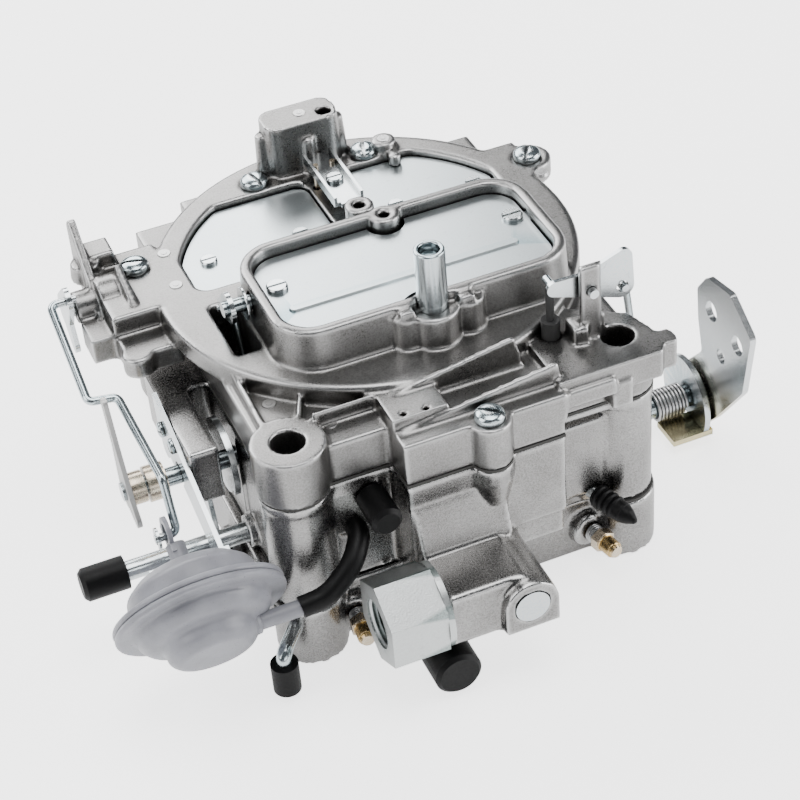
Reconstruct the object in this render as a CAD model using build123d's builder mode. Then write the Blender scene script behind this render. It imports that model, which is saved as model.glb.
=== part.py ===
"""Four-barrel spread-bore carburetor: three stacked castings with their valves, levers and fittings.

Frame: +X is the throttle-lever side, -Y is the fuel-inlet side, +Z is up.  The origin is the centre
of the mounting-bolt pattern, on the bottom face of the throttle body.  Millimetres.
"""
from build123d import *
import os
from math import cos, pi, radians, sin

os.makedirs("parts", exist_ok=True)

# ---------------------------------------------------------------- driving dimensions
# Stack of castings
BODY_TOP = 22.0          # top face of the throttle body
GASKET = 1.0             # thickness of both paper gaskets
BOWL_BOTTOM = BODY_TOP + GASKET
BOWL_TOP = 64.0
HORN_BOTTOM = BOWL_TOP + GASKET
DECK_TOP = 79.0          # flat deck of the air horn, under the ring
PAD_TOP = 82.0           # front corner pads of the air horn
RING_TOP = 86.0          # seat of the air cleaner
CHOKE_RIM = 100.0        # upper rim of the choke wall

# Mounting pattern, 4-1/4 in by 5-5/8 in
BOLT_X = 107.95
BOLT_Y = 142.88
FRONT_Y = -BOLT_Y / 2
REAR_Y = BOLT_Y / 2
BOLT_HOLE_R = 5.2

# Bores
PRIMARY_R = 17.46        # 1-3/8 in
PRIMARY_X = 20.0
PRIMARY_Y = -32.0
SECONDARY_R = 28.58      # 2-1/4 in
SECONDARY_X = 31.0
SECONDARY_Y = 26.0
SHAFT_Z = 11.0           # height of both throttle shafts
SHAFT_R = 4.0
PLATE_T = 1.5            # throttle plates
VALVE_GAP = 0.35         # gap between a valve plate and its bore
RUNNING = 0.05           # radial clearance of a shaft in its bearing

# Air-cleaner ring
RING_R = 68.66
RING_INNER_R = 60.0

# Choke
CHOKE_X0, CHOKE_X1 = -41.0, 49.0
CHOKE_Y0, CHOKE_Y1 = -46.0, -1.5
CHOKE_AXIS = (-18.0, 94.2)       # Y and Z of the choke shaft
CHOKE_PLATE_Z = 94.8
CHOKE_PLATE_T = 1.2
COUNTER_AXIS = (-35.0, 51.0)     # Y and Z of the intermediate choke shaft
CHOKE_ARM = (8.0, -5.0)          # pin of both choke levers, from their shafts
CHOKE_LEVER_X = -52.5

# Air valve
AIR_AXIS = (22.0, 81.5)
AIR_PLATE_Z = 82.6
AIR_Y0, AIR_Y1 = 5.0, 48.5
WEB_X0, WEB_X1 = -2.5, 9.5       # web between the two air-valve openings
WELL_X = 55.0
AIR_ARM = (-7.7, 9.2)            # pin of the air-valve lever, from its shaft

# Vacuum break: centre of its rim and the direction from the can to its tail
CAN_CENTRE = (-90.5, -82.0, 38.5)
CAN_BACK = (0.0, 0.887, 0.462)

# Accelerator pump
PUMP_X, PUMP_Y = 36.0, -62.0
PUMP_PIVOT = (46.5, 100.0)       # X and Z of the lever pivot
PUMP_ARM_Y = -66.2               # front face of the pump lever

WIRE_R = 1.35


# ---------------------------------------------------------------- shapes used more than once
def slotted_screw(head_r, head_h, shank_r, shank_l, slot=1.2):
    """Screw pointing down, the underside of its head at the origin."""
    with BuildPart() as screw:
        Cylinder(head_r, head_h, align=(Align.CENTER, Align.CENTER, Align.MIN))
        chamfer(screw.edges().group_by(Axis.Z)[-1], head_h * 0.3)
        Cylinder(shank_r, shank_l, align=(Align.CENTER, Align.CENTER, Align.MAX))
        with Locations((0, 0, head_h)):
            Box(head_r * 2.2, slot, head_h * 0.9, mode=Mode.SUBTRACT)
    return screw.part


def bent_rod(points, radius, bend):
    """Round wire along straight runs joined by bends."""
    with BuildPart() as wire:
        with BuildLine() as path:
            FilletPolyline(*points, radius=bend)
        with BuildSketch(Plane(origin=path.line @ 0, z_dir=path.line % 0)):
            Circle(radius)
        sweep()
    return wire.part


def side_plate(x, thickness, outline, holes=()):
    """Flat plate in a YZ plane.  outline is a function that draws it, holes are (y, z, radius)."""
    with BuildPart() as plate:
        with BuildSketch(Plane(origin=(x, 0, 0), x_dir=(0, 1, 0), z_dir=(1, 0, 0))):
            outline()
            for y, z, radius in holes:
                with Locations((y, z)):
                    Circle(radius, mode=Mode.SUBTRACT)
        extrude(amount=thickness)
    return plate.part


def link_outline(a, b, ra, rb):
    """Two round ends joined by their common tangents, as hull of two circles."""
    with BuildSketch(mode=Mode.PRIVATE) as ends:
        with Locations(a):
            Circle(ra)
        with Locations(b):
            Circle(rb)
        make_hull(ends.edges())
    add(ends.sketch)


def tube_x(x0, x1, y, z, outer, inner=0.0):
    """Tube or bar along X between x0 and x1."""
    with BuildPart() as bar:
        with BuildSketch(Plane(origin=(x0, y, z), x_dir=(0, 1, 0), z_dir=(1, 0, 0))):
            Circle(outer)
            if inner:
                Circle(inner, mode=Mode.SUBTRACT)
        extrude(amount=x1 - x0)
    return bar.part


def turned(origin, direction, profile):
    """Turned piece: profile is a list of (radius, distance along direction) corner points."""
    plane = Plane(origin=origin, x_dir=Vector(direction).cross(Vector(0.3, 0.1, 1)), z_dir=direction)
    with BuildPart() as piece:
        with BuildSketch(Plane.XZ):
            with BuildLine():
                Polyline(*profile, close=True)
            make_face()
        revolve(axis=Axis.Z)
    return plane.location * piece.part


def cap_profile(outer, inner, depth, wall=1.6):
    """Section of a rubber cap that is closed at its far end."""
    edge = 1.2
    return [(0, depth), (inner, depth), (inner, 0), (outer, 0), (outer, depth + wall - edge),
            (outer - edge, depth + wall), (0, depth + wall)]


front_bolts = [(-BOLT_X / 2, FRONT_Y), (BOLT_X / 2, FRONT_Y)]
rear_bolts = [(-BOLT_X / 2, REAR_Y), (BOLT_X / 2, REAR_Y)]
primary_centres = [(-PRIMARY_X, PRIMARY_Y), (PRIMARY_X, PRIMARY_Y)]
secondary_centres = [(-SECONDARY_X, SECONDARY_Y), (SECONDARY_X, SECONDARY_Y)]


def rect(x0, x1, y0, y1, mode=Mode.ADD):
    """Rectangle given by its sides."""
    with Locations(((x0 + x1) / 2, (y0 + y1) / 2)):
        Rectangle(x1 - x0, y1 - y0, mode=mode)


def block(x0, x1, y0, y1, z0, z1, mode=Mode.ADD):
    """Box given by its sides."""
    with Locations(((x0 + x1) / 2, (y0 + y1) / 2, (z0 + z1) / 2)):
        Box(x1 - x0, y1 - y0, z1 - z0, mode=mode)


def base_outline():
    """Outline of the throttle body and of its gasket."""
    rect(-64, 64, -61, 59)
    rect(-50, 50, -74, 78)
    with Locations(*front_bolts, *rear_bolts):
        Circle(11.5)
    with Locations(*front_bolts, *rear_bolts):
        Circle(BOLT_HOLE_R, mode=Mode.SUBTRACT)


FRONT_SCREW = (3.9, -87.0)
FRONT_SCREW_BOSS_R = 6.5


def bowl_outline():
    """Outline of the float bowl and of the air-horn gasket."""
    rect(-61, 61, -62, 57)
    rect(-42, 42, 50, 67)
    rect(-24, 28, -88, -60)
    rect(26, 52, -80, -60)
    rect(-52, -22, -76, -60)
    with Locations(*front_bolts):
        Circle(11.0)
    with Locations(FRONT_SCREW):
        Circle(FRONT_SCREW_BOSS_R)


def air_openings(grow=0.0):
    """The two openings over the secondary bores; a negative grow gives the valve plates."""
    with BuildSketch(mode=Mode.PRIVATE) as openings:
        rect(-WELL_X - grow, WEB_X0 + grow, AIR_Y0 - grow, AIR_Y1 + grow)
        rect(WEB_X1 - grow, WELL_X + grow, AIR_Y0 - grow, AIR_Y1 + grow)
        Circle(RING_INNER_R + grow, mode=Mode.INTERSECT)
        fillet(openings.vertices(), 5.0)
    add(openings.sketch)


def choke_opening(grow=0.0):
    """Rounded rectangle of the choke passage."""
    with Locations(((CHOKE_X0 + CHOKE_X1) / 2, (CHOKE_Y0 + CHOKE_Y1) / 2)):
        RectangleRounded(CHOKE_X1 - CHOKE_X0 + 2 * grow, CHOKE_Y1 - CHOKE_Y0 + 2 * grow, 10 + grow)


# ---------------------------------------------------------------- throttle body
PCV_X, PCV_Z = -22.0, 8.6                    # large tube at the front
PCV_R = 5.6

with BuildPart() as throttle_body:
    with BuildSketch():
        base_outline()
    extrude(amount=BODY_TOP)
    fillet(throttle_body.edges().filter_by(Axis.Z).filter_by_position(Axis.Y, -75.5, -72), 1.5)
    for x0, x1, y in ((60, 70, PRIMARY_Y), (-68, -60, PRIMARY_Y), (60, 72, SECONDARY_Y),
                      (-68, -60, SECONDARY_Y)):
        add(tube_x(x0, x1, y, SHAFT_Z, 7.5))
    block(-76, -62, -60, -54, 9, BODY_TOP)                 # lug of the idle speed screw
    block(PCV_X - 8, PCV_X + 8, -80, -70, 1, 16)           # boss of the large front tube
    with BuildSketch():
        with Locations(*primary_centres):
            Circle(PRIMARY_R)
        with Locations(*secondary_centres):
            Circle(SECONDARY_R)
    extrude(amount=BODY_TOP, mode=Mode.SUBTRACT)
    for y in (PRIMARY_Y, SECONDARY_Y):
        add(tube_x(-80, 80, y, SHAFT_Z, SHAFT_R + RUNNING), mode=Mode.SUBTRACT)
    add(turned((PCV_X, -81, PCV_Z), (0, 1, 0), [(0, 0), (PCV_R, 0), (PCV_R, 12), (0, 12)]),
        mode=Mode.SUBTRACT)

# Mixture screws run in bosses at the front, each turned a little outward
MIXTURE = {
    "left": ((-39.5, -68.0, SHAFT_Z), (-0.12, -0.99, 0.0)),
    "right": ((39.0, -68.0, SHAFT_Z), (0.2, -0.98, 0.0)),
}
MIXTURE_BOSS = [(0, 0), (6.2, 0), (6.2, 9), (5.2, 10), (0, 10)]
MIXTURE_DEPTH = 9.0                          # the screw starts this far inside its boss
MIXTURE_HOLE = [(0, 0), (2.5, 0), (2.5, 19.5), (0, 19.5)]
IDLE_X, IDLE_Z = -70.5, 16.0                 # axis of the idle speed screw, along Y
IDLE_R = 2.0
IDLE_HOLE = [(0, 0), (IDLE_R + RUNNING, 0), (IDLE_R + RUNNING, 8), (0, 8)]

throttle_casting = throttle_body.part
for origin, direction in MIXTURE.values():
    start = tuple(Vector(origin) - Vector(direction) * MIXTURE_DEPTH)
    throttle_casting = throttle_casting + turned(origin, direction, MIXTURE_BOSS)
    throttle_casting = throttle_casting - turned(start, direction, MIXTURE_HOLE)
throttle_casting = throttle_casting - turned((IDLE_X, -61, IDLE_Z), (0, 1, 0), IDLE_HOLE)
throttle_casting.label = "throttle_body"
export_step(throttle_casting, "parts/throttle_body.step")

with BuildPart() as bowl_base_gasket:
    with BuildSketch(Plane.XY.offset(BODY_TOP)):
        rect(-61, 61, -62, 57)
        rect(-42, 42, 50, 67)
        rect(-24, 28, -74, -60)
        with Locations(*front_bolts):
            Circle(11.0)
        with Locations(*front_bolts):
            Circle(BOLT_HOLE_R, mode=Mode.SUBTRACT)
        with Locations(*primary_centres):
            Circle(PRIMARY_R + 0.5, mode=Mode.SUBTRACT)
        with Locations(*secondary_centres):
            Circle(SECONDARY_R + 0.3, mode=Mode.SUBTRACT)
    extrude(amount=GASKET)
bowl_base_gasket.part.label = "bowl_base_gasket"
export_step(bowl_base_gasket.part, "parts/bowl_base_gasket.step")

# ---------------------------------------------------------------- float bowl
CHAMBER = (-20.0, 24.0, -84.0, -53.0)        # fuel chamber: x0, x1, y0, y1
CHAMBER_FLOOR = 29.0
PISTON = (2.0, -50.0)                        # power piston well
JETS = [(-9.0, -56.0), (13.0, -56.0)]
SEAT = (2.0, -78.0)                          # needle seat
ROD_WELLS = [(0.5, 44.0), (6.5, 44.0)]       # secondary metering rods
LINK_WELL = (-56.0, -46.5, -49.0, -4.0)      # passage of the choke rod
INLET_Y, INLET_Z = -103.9, 30.7              # axis of the fuel inlet
BLOCK_X0, BLOCK_X1 = -23.0, 2.0
BLOCK_Y0, BLOCK_Y1 = -113.3, -84.0
BLOCK_Z0, BLOCK_Z1 = 19.8, 39.5
INLET_THREAD_R = 7.0
PLUG = (2.0, 29.5)                           # X and Z of the inlet passage plug
PLUG_FACE = -117.0                           # front face of the round boss
PLUG_BOSS_R = 9.0
PLUG_R = 5.6
BRACKET_X = -78.0                            # face of the lug that carries the bracket
BRACKET_SCREWS = [(-21.0, 58.5), (-32.5, 60.5)]

with BuildPart() as float_bowl:
    with BuildSketch(Plane.XY.offset(BOWL_BOTTOM)):
        rect(-61, 61, -62, 57)
        rect(-42, 42, 50, 67)
        rect(-24, 28, -85, -60)
        rect(26, 46, -76, -60)
        rect(-46, -22, -74, -60)
        with Locations(*front_bolts):
            Circle(10.5)
    extrude(amount=BOWL_TOP - BOWL_BOTTOM)
    with BuildSketch(Plane.XY.offset(BOWL_TOP - 3)):
        bowl_outline()
    extrude(amount=3)
    with BuildSketch(Plane.XY.offset(34)):
        rect(-24, 28, -88, -80)
    extrude(amount=BOWL_TOP - 34)
    # lug of the choke bracket, reaching forward outside the cam
    block(BRACKET_X, -60, -12, 2, 44, BOWL_TOP)
    block(BRACKET_X, -68, -44, -10, 44, BOWL_TOP)
    # sloping web under the air-valve lever
    with BuildSketch(Plane.XZ.offset(-14)):
        with BuildLine():
            Polyline((-60, 30), (-60, 64), (-74, 64), close=True)
        make_face()
    extrude(amount=12)
    # fuel inlet block and the round boss of its plug
    block(BLOCK_X0, BLOCK_X1, BLOCK_Y0, BLOCK_Y1, BLOCK_Z0, BLOCK_Z1)
    with BuildSketch(Plane(origin=(PLUG[0], PLUG_FACE, PLUG[1]), x_dir=(1, 0, 0), z_dir=(0, -1, 0))):
        Circle(PLUG_BOSS_R)
        rect(-PLUG_BOSS_R, PLUG_BOSS_R, -PLUG_BOSS_R, 0)
    extrude(amount=PLUG_FACE - BLOCK_Y1)
    with BuildSketch(Plane.YZ.offset(BLOCK_X0)):
        with BuildLine():
            Polyline((-84, 39), (-94, 39), (-88.5, 55), (-84, 55), close=True)
        make_face()
    extrude(amount=30)
    # hollows, from the top
    with BuildSketch(Plane.XY.offset(BOWL_BOTTOM)):
        with Locations(*primary_centres):
            Circle(PRIMARY_R)
        with Locations(*secondary_centres):
            Circle(SECONDARY_R)
        with Locations(*front_bolts):
            Circle(BOLT_HOLE_R)
    extrude(amount=60, mode=Mode.SUBTRACT)
    with BuildSketch(Plane.XY.offset(46)):
        air_openings()
    extrude(amount=20, mode=Mode.SUBTRACT)
    block(CHAMBER[0], CHAMBER[1], CHAMBER[2], CHAMBER[3], CHAMBER_FLOOR, 70, mode=Mode.SUBTRACT)
    block(PISTON[0] - 2.6, PISTON[0] + 2.6, CHAMBER[3] - 1, PISTON[1], 54, 70, mode=Mode.SUBTRACT)
    block(LINK_WELL[0], LINK_WELL[1], LINK_WELL[2], LINK_WELL[3], 34, 70, mode=Mode.SUBTRACT)
    with BuildSketch(Plane.XY.offset(35)):
        with Locations((PUMP_X, PUMP_Y)):
            Circle(7.0)
    extrude(amount=40, mode=Mode.SUBTRACT)
    with BuildSketch(Plane.XY.offset(34)):
        with Locations(PISTON):
            Circle(2.5)
        with Locations(*ROD_WELLS):
            Circle(1.6)
    extrude(amount=40, mode=Mode.SUBTRACT)
    with BuildSketch(Plane.XY.offset(26.5)):
        with Locations(*JETS):
            Circle(3.5)
        with Locations(SEAT):
            Circle(4.0)
    extrude(amount=5, mode=Mode.SUBTRACT)
    add(tube_x(-80, -50, COUNTER_AXIS[0], COUNTER_AXIS[1], 3.0 + RUNNING), mode=Mode.SUBTRACT)
    add(tube_x(BLOCK_X0 - 1, BLOCK_X1, INLET_Y, INLET_Z, INLET_THREAD_R), mode=Mode.SUBTRACT)
    with BuildSketch(Plane(origin=(PLUG[0], PLUG_FACE, PLUG[1]), x_dir=(1, 0, 0), z_dir=(0, -1, 0))):
        Circle(PLUG_R)
    extrude(amount=-3, mode=Mode.SUBTRACT)
    passage_mouth = (SEAT[0], PLUG_FACE, CHAMBER_FLOOR - 1)
    with BuildSketch(Plane(origin=passage_mouth, x_dir=(1, 0, 0), z_dir=(0, -1, 0))):
        Circle(1.5)
    extrude(amount=PLUG_FACE - SEAT[1], mode=Mode.SUBTRACT)
    for y, z in BRACKET_SCREWS:
        add(tube_x(BRACKET_X - 1, BRACKET_X + 3, y, z, 1.4), mode=Mode.SUBTRACT)
float_bowl.part.label = "float_bowl"
export_step(float_bowl.part, "parts/float_bowl.step")

with BuildPart() as air_horn_gasket:
    with BuildSketch(Plane.XY.offset(BOWL_TOP)):
        bowl_outline()
        with Locations(*front_bolts):
            Circle(BOLT_HOLE_R, mode=Mode.SUBTRACT)
        with Locations(*primary_centres):
            Circle(PRIMARY_R, mode=Mode.SUBTRACT)
        rect(*CHAMBER, mode=Mode.SUBTRACT)
        rect(*LINK_WELL, mode=Mode.SUBTRACT)
        rect(-0.6, 4.6, -54, -50, mode=Mode.SUBTRACT)
        with Locations(PISTON):
            Circle(2.6, mode=Mode.SUBTRACT)
        with Locations((PUMP_X, PUMP_Y)):
            Circle(7.0, mode=Mode.SUBTRACT)
        with Locations(*ROD_WELLS):
            Circle(1.6, mode=Mode.SUBTRACT)
    extrude(amount=GASKET)
    with BuildSketch(Plane.XY.offset(BOWL_TOP)):
        air_openings()
    extrude(amount=GASKET, mode=Mode.SUBTRACT)
air_horn_gasket.part.label = "air_horn_gasket"
export_step(air_horn_gasket.part, "parts/air_horn_gasket.step")

# ---------------------------------------------------------------- air horn
SPOT_R = 5.3                                 # recesses that sink the screw heads a little
SPOT_Z = RING_TOP - 0.4
PLATFORM_TOP = 80.0
HORN_SCREWS = [(-18.3, 54.5, SPOT_Z), (21.3, 54.0, SPOT_Z), (-69.2, 27.4, SPOT_Z), (69.3, 24.9, SPOT_Z),
               (*FRONT_SCREW, PLATFORM_TOP)]
VENT = (3.0, -49.5)
VENT_LOBES = [(-5.5, -48.5), (14.0, -49.3)]
VENT_LOBE_R = 5.5
VENT_BOSS_TOP = 97.0
WEB_TOP = RING_TOP - 1.2                     # the web stays below the air-cleaner seat
WEB_BOSS = (4.3, 14.0)
REAR_BOSS = (6.9, -1.7)
CHOKE_SLOT = (-55.0, -46.5, -31.0, -4.0)
EAR = (-84.0, -60.0, 4.0, 38.5)

with BuildPart() as air_horn:
    with BuildSketch(Plane.XY.offset(HORN_BOTTOM)):
        bowl_outline()
    extrude(amount=DECK_TOP - HORN_BOTTOM)
    # ring that carries the air cleaner
    with BuildSketch(Plane.XY.offset(DECK_TOP - 1)):
        Circle(RING_R)
    extrude(amount=RING_TOP - DECK_TOP + 1)
    chamfer(air_horn.edges().filter_by(GeomType.CIRCLE).sort_by(Axis.Z)[-1], 0.8)
    # front corner pads and front platform
    with BuildSketch(Plane.XY.offset(HORN_BOTTOM)):
        with Locations(front_bolts[0]):
            Circle(11.5)
    extrude(amount=PAD_TOP - HORN_BOTTOM)
    with BuildSketch(Plane.XY.offset(72)):
        with BuildLine():
            Polyline((28, -60), (28, -84.7), (62.6, -84.7), (64.5, -82), (69, -82), (70, -79), (69, -75.5),
                     (65.5, -75), (62, -63), (46, -52), close=True)
        make_face()
    extrude(amount=PAD_TOP - 72)
    block(-24, 29, -88, -62, 70, PLATFORM_TOP)
    with BuildSketch(Plane.XY.offset(HORN_BOTTOM)):
        with Locations(FRONT_SCREW):
            Circle(FRONT_SCREW_BOSS_R)
    extrude(amount=PLATFORM_TOP - HORN_BOTTOM)
    block(-24, -6, -80, -60, 79, 84)
    block(26, 46, -87, -84, 73, 79)
    block(45, 52, -86, -79, 66, 76)
    # two thin fins across the platform, rising to the right
    for back_y, outline in ((-67.0, [(-23, 79), (-23, 83.6), (20.8, 91), (22.6, 85), (23.4, 79)]),
                            (-79.8, [(-22, 79), (-22, 80.6), (29.2, 87.2), (30.4, 81), (30.4, 79)])):
        with BuildSketch(Plane.XZ.offset(-back_y)):
            with BuildLine():
                Polyline(*outline, close=True)
            make_face()
        extrude(amount=1.8)
    block(-44, -24, -66, -64.5, 78, 84)
    # left ear with the air-valve bearing, its fin and its round boss
    block(EAR[0], EAR[1], EAR[2], EAR[3], 70, RING_TOP)
    block(EAR[0], -74, 32, 41.5, 79, 91.5)
    add(tube_x(EAR[0], -74.2, AIR_AXIS[0], AIR_AXIS[1], 7.8))
    add(tube_x(-92, EAR[0], AIR_AXIS[0], AIR_AXIS[1], 5.2))
    block(-92, EAR[0], 4, 16, 71, 80)
    with BuildSketch(Plane.YZ.offset(-86)):
        with BuildLine():
            Polyline((3, 71), (42, 79), (42, 101), (39.5, 102.5), close=True)
        make_face()
    extrude(amount=3)
    with BuildSketch(Plane.YZ.offset(-76.6)):
        with BuildLine():
            Polyline((4, 85), (24, 85), (24, 92), close=True)
        make_face()
    extrude(amount=2.4)
    # right ear
    with BuildSketch(Plane.XY.offset(DECK_TOP)):
        with Locations((69.3, 24.9)):
            Circle(8.0)
        rect(56, 69, 14, 36)
    extrude(amount=RING_TOP - DECK_TOP)
    # tall boss at the rear
    with BuildSketch(Plane.XY.offset(DECK_TOP)) as tall_boss:
        rect(-12, 14, 52.5, 66)
        fillet(tall_boss.vertices(), 4.5)
    extrude(amount=105 - DECK_TOP)
    # pads of the two rear screws
    with BuildSketch(Plane.XY.offset(80)):
        with Locations((-18.3, 54.5), (21.3, 54.0)):
            Circle(6.0)
    extrude(amount=RING_TOP - 80)
    # choke wall
    with BuildSketch(Plane.XY.offset(DECK_TOP)):
        choke_opening(5.0)
    extrude(amount=CHOKE_RIM - DECK_TOP, taper=4)
    # rest of the deck round the slot, then every passage through the casting
    with BuildSketch(Plane.XY.offset(HORN_BOTTOM)):
        choke_opening()
        rect(*CHOKE_SLOT)
    extrude(amount=50, mode=Mode.SUBTRACT)
    with BuildSketch(Plane.XY.offset(HORN_BOTTOM)):
        air_openings()
    extrude(amount=RING_TOP - HORN_BOTTOM + 1, mode=Mode.SUBTRACT)
    block(WEB_X0 - 1, WEB_X1 + 1, AIR_Y0, AIR_Y1, WEB_TOP, RING_TOP + 1, mode=Mode.SUBTRACT)
    with BuildSketch(Plane.XY.offset(HORN_BOTTOM)):
        with Locations((PUMP_X, PUMP_Y)):
            Circle(7.0)
    extrude(amount=11, mode=Mode.SUBTRACT)
    block(CHAMBER[0], CHAMBER[1], CHAMBER[2], CHAMBER[3], HORN_BOTTOM, 76, mode=Mode.SUBTRACT)
    # vent-tube boss with a lobe on each side, small bosses behind the choke and on the web
    with BuildSketch(Plane.XY.offset(76)):
        with Locations(VENT):
            Circle(8.2)
        with Locations(*VENT_LOBES):
            Circle(VENT_LOBE_R)
    extrude(amount=VENT_BOSS_TOP - 76)
    with BuildSketch(Plane.XY.offset(DECK_TOP)):
        with Locations(REAR_BOSS):
            Circle(5.0)
    extrude(amount=CHOKE_RIM - DECK_TOP)
    with BuildSketch(Plane.XY.offset(WEB_TOP - 2)):
        with Locations(WEB_BOSS):
            Circle(4.8)
    extrude(amount=12)
    # pump-lever post
    with BuildSketch(Plane.XY.offset(80)):
        with BuildLine():
            Polyline((40, -63), (40, -70.5), (44.5, -71.5), (44.5, -68.5), (56, -68.5), (56, -67), (44, -63),
                     close=True)
        make_face()
    extrude(amount=8)
    block(43, 54, -69.5, -67, 80, 109)
with BuildPart() as horn_tools:
    with BuildSketch(Plane.XY.offset(60)):
        with Locations(*front_bolts):
            Circle(BOLT_HOLE_R)
        with Locations((PUMP_X, PUMP_Y)):
            Circle(3.2)
    extrude(amount=60)
    with BuildSketch(Plane.XY.offset(80)):
        with Locations(VENT):
            Circle(4.0)
        with Locations(REAR_BOSS):
            Circle(1.8)
    extrude(amount=40)
    with BuildSketch(Plane.XY.offset(WEB_TOP)):
        with Locations(WEB_BOSS):
            Circle(2.0)
    extrude(amount=40)
    with BuildSketch(Plane.XY.offset(VENT_BOSS_TOP)):
        with Locations(VENT):
            Circle(4.85)
    extrude(amount=20)
    with BuildSketch(Plane.XY.offset(92)):
        with Locations((9.6, 57)):
            Circle(2.4)
    extrude(amount=40)
    with BuildSketch(Plane.XY.offset(76)):
        with Locations((-19.6, -77.6), (-12.5, -78.3)):
            Circle(1.0)
    extrude(amount=40)
    with BuildSketch(Plane.XY.offset(60)):
        with Locations(*ROD_WELLS):
            Circle(1.6)
    extrude(amount=40)
    for x, y, z in HORN_SCREWS:
        with Locations((x, y, z - 14)):
            Cylinder(2.5, 16, align=(Align.CENTER, Align.CENTER, Align.MIN))
        with Locations((x, y, z)):
            Cylinder(SPOT_R, 3, align=(Align.CENTER, Align.CENTER, Align.MIN))
    add(tube_x(-60, 51, CHOKE_AXIS[0], CHOKE_AXIS[1], 2.5 + RUNNING))
    add(tube_x(-100, 61, AIR_AXIS[0], AIR_AXIS[1], 2.5 + RUNNING))
    with BuildSketch(Plane(origin=(PUMP_PIVOT[0], -60, PUMP_PIVOT[1]), x_dir=(1, 0, 0), z_dir=(0, -1, 0))):
        Circle(1.5)
    extrude(amount=20)
air_horn_casting = air_horn.part - horn_tools.part
air_horn_casting.label = "air_horn"
export_step(air_horn_casting, "parts/air_horn.step")

with BuildPart() as assembly_screws:
    for x, y, z in HORN_SCREWS:
        with Locations((x, y, z)):
            add(slotted_screw(4.7, 3.2, 2.3, 12.0))
    for y, z in BRACKET_SCREWS:
        with Locations(Plane(origin=(BRACKET_X - 1.5, y, z), z_dir=(-1, 0, 0))):
            add(slotted_screw(2.6, 1.6, 1.4, 4.5, 0.8))
assembly_screws.part.label = "assembly_screws"
export_step(assembly_screws.part, "parts/assembly_screws.step")

with BuildPart() as vent_tube:
    with BuildSketch(Plane.XY.offset(88)):
        with Locations(VENT):
            Circle(4.0)
            Circle(3.2, mode=Mode.SUBTRACT)
    extrude(amount=9)
    with BuildSketch(Plane.XY.offset(97)):
        with Locations(VENT):
            Circle(4.8)
            Circle(3.2, mode=Mode.SUBTRACT)
    extrude(amount=21)
    fillet(vent_tube.edges().group_by(Axis.Z)[-1], 0.6)
vent_tube.part.label = "vent_tube"
export_step(vent_tube.part, "parts/vent_tube.step")

# ---------------------------------------------------------------- choke
def shaft_with_flat(x0, x1, y, z, radius, flat_z, spans):
    """Shaft along X, cut down to a flat over the spans that carry a plate."""
    with BuildPart() as shaft:
        add(tube_x(x0, x1, y, z, radius))
        for a, b in spans:
            block(a, b, y - radius - 1, y + radius + 1, flat_z, z + radius + 1, mode=Mode.SUBTRACT)
    return shaft.part


with BuildPart() as choke_valve_plate:
    with BuildSketch(Plane.XY.offset(CHOKE_PLATE_Z)):
        choke_opening(-0.6)
        with Locations(VENT):
            Circle(10.0, mode=Mode.SUBTRACT)
        with Locations(*VENT_LOBES):
            Circle(VENT_LOBE_R + 1.4, mode=Mode.SUBTRACT)
        with Locations(REAR_BOSS):
            Circle(6.4, mode=Mode.SUBTRACT)
        with Locations((-35.8, CHOKE_AXIS[0]), (44.1, CHOKE_AXIS[0])):
            Circle(1.4, mode=Mode.SUBTRACT)
    extrude(amount=CHOKE_PLATE_T)
    with BuildSketch(Plane.XY.offset(CHOKE_PLATE_Z + CHOKE_PLATE_T)):
        with Locations((2, -30.5)):
            SlotOverall(77, 3.6)
    extrude(amount=0.8, taper=30)
choke_valve_plate.part.label = "choke_valve_plate"
export_step(choke_valve_plate.part, "parts/choke_valve_plate.step")

with BuildPart() as choke_valve_screws:
    with Locations((-35.8, CHOKE_AXIS[0], CHOKE_PLATE_Z + CHOKE_PLATE_T),
                   (44.1, CHOKE_AXIS[0], CHOKE_PLATE_Z + CHOKE_PLATE_T)):
        add(slotted_screw(3.4, 1.5, 1.4, CHOKE_PLATE_T, 0.9))
choke_valve_screws.part.label = "choke_valve_screws"
export_step(choke_valve_screws.part, "parts/choke_valve_screws.step")


def arm_outline(centre, pin, hub_r=5.0, end_r=3.0):
    """Outline function of a lever arm from a hub to a pin."""
    def draw():
        link_outline(centre, (centre[0] + pin[0], centre[1] + pin[1]), hub_r, end_r)
    return draw


def pin_of(axis, arm, radius):
    return (axis[0] + arm[0], axis[1] + arm[1], radius)


# Shaft with its upper lever staked on the end
choke_upper_lever = side_plate(CHOKE_LEVER_X, 1.5, arm_outline(CHOKE_AXIS, CHOKE_ARM),
                               [pin_of(CHOKE_AXIS, CHOKE_ARM, 1.2)])
choke_shaft = shaft_with_flat(-54, 50.5, *CHOKE_AXIS, 2.5, CHOKE_PLATE_Z, [(CHOKE_X0 - 0.2, CHOKE_X1 + 0.2)])
choke_shaft = choke_shaft + choke_upper_lever
choke_shaft.label = "choke_shaft"
export_step(choke_shaft, "parts/choke_shaft.step")

upper_pin = pin_of(CHOKE_AXIS, CHOKE_ARM, 0)
lower_pin = pin_of(COUNTER_AXIS, CHOKE_ARM, 0)
choke_rod = bent_rod([(-53.6, upper_pin[0], upper_pin[1]), (-49, upper_pin[0], upper_pin[1]),
                      (-49, lower_pin[0], lower_pin[1]), (-53.6, lower_pin[0], lower_pin[1])], 1.1, 1.4)
choke_rod.label = "choke_rod"
export_step(choke_rod, "parts/choke_rod.step")

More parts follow.
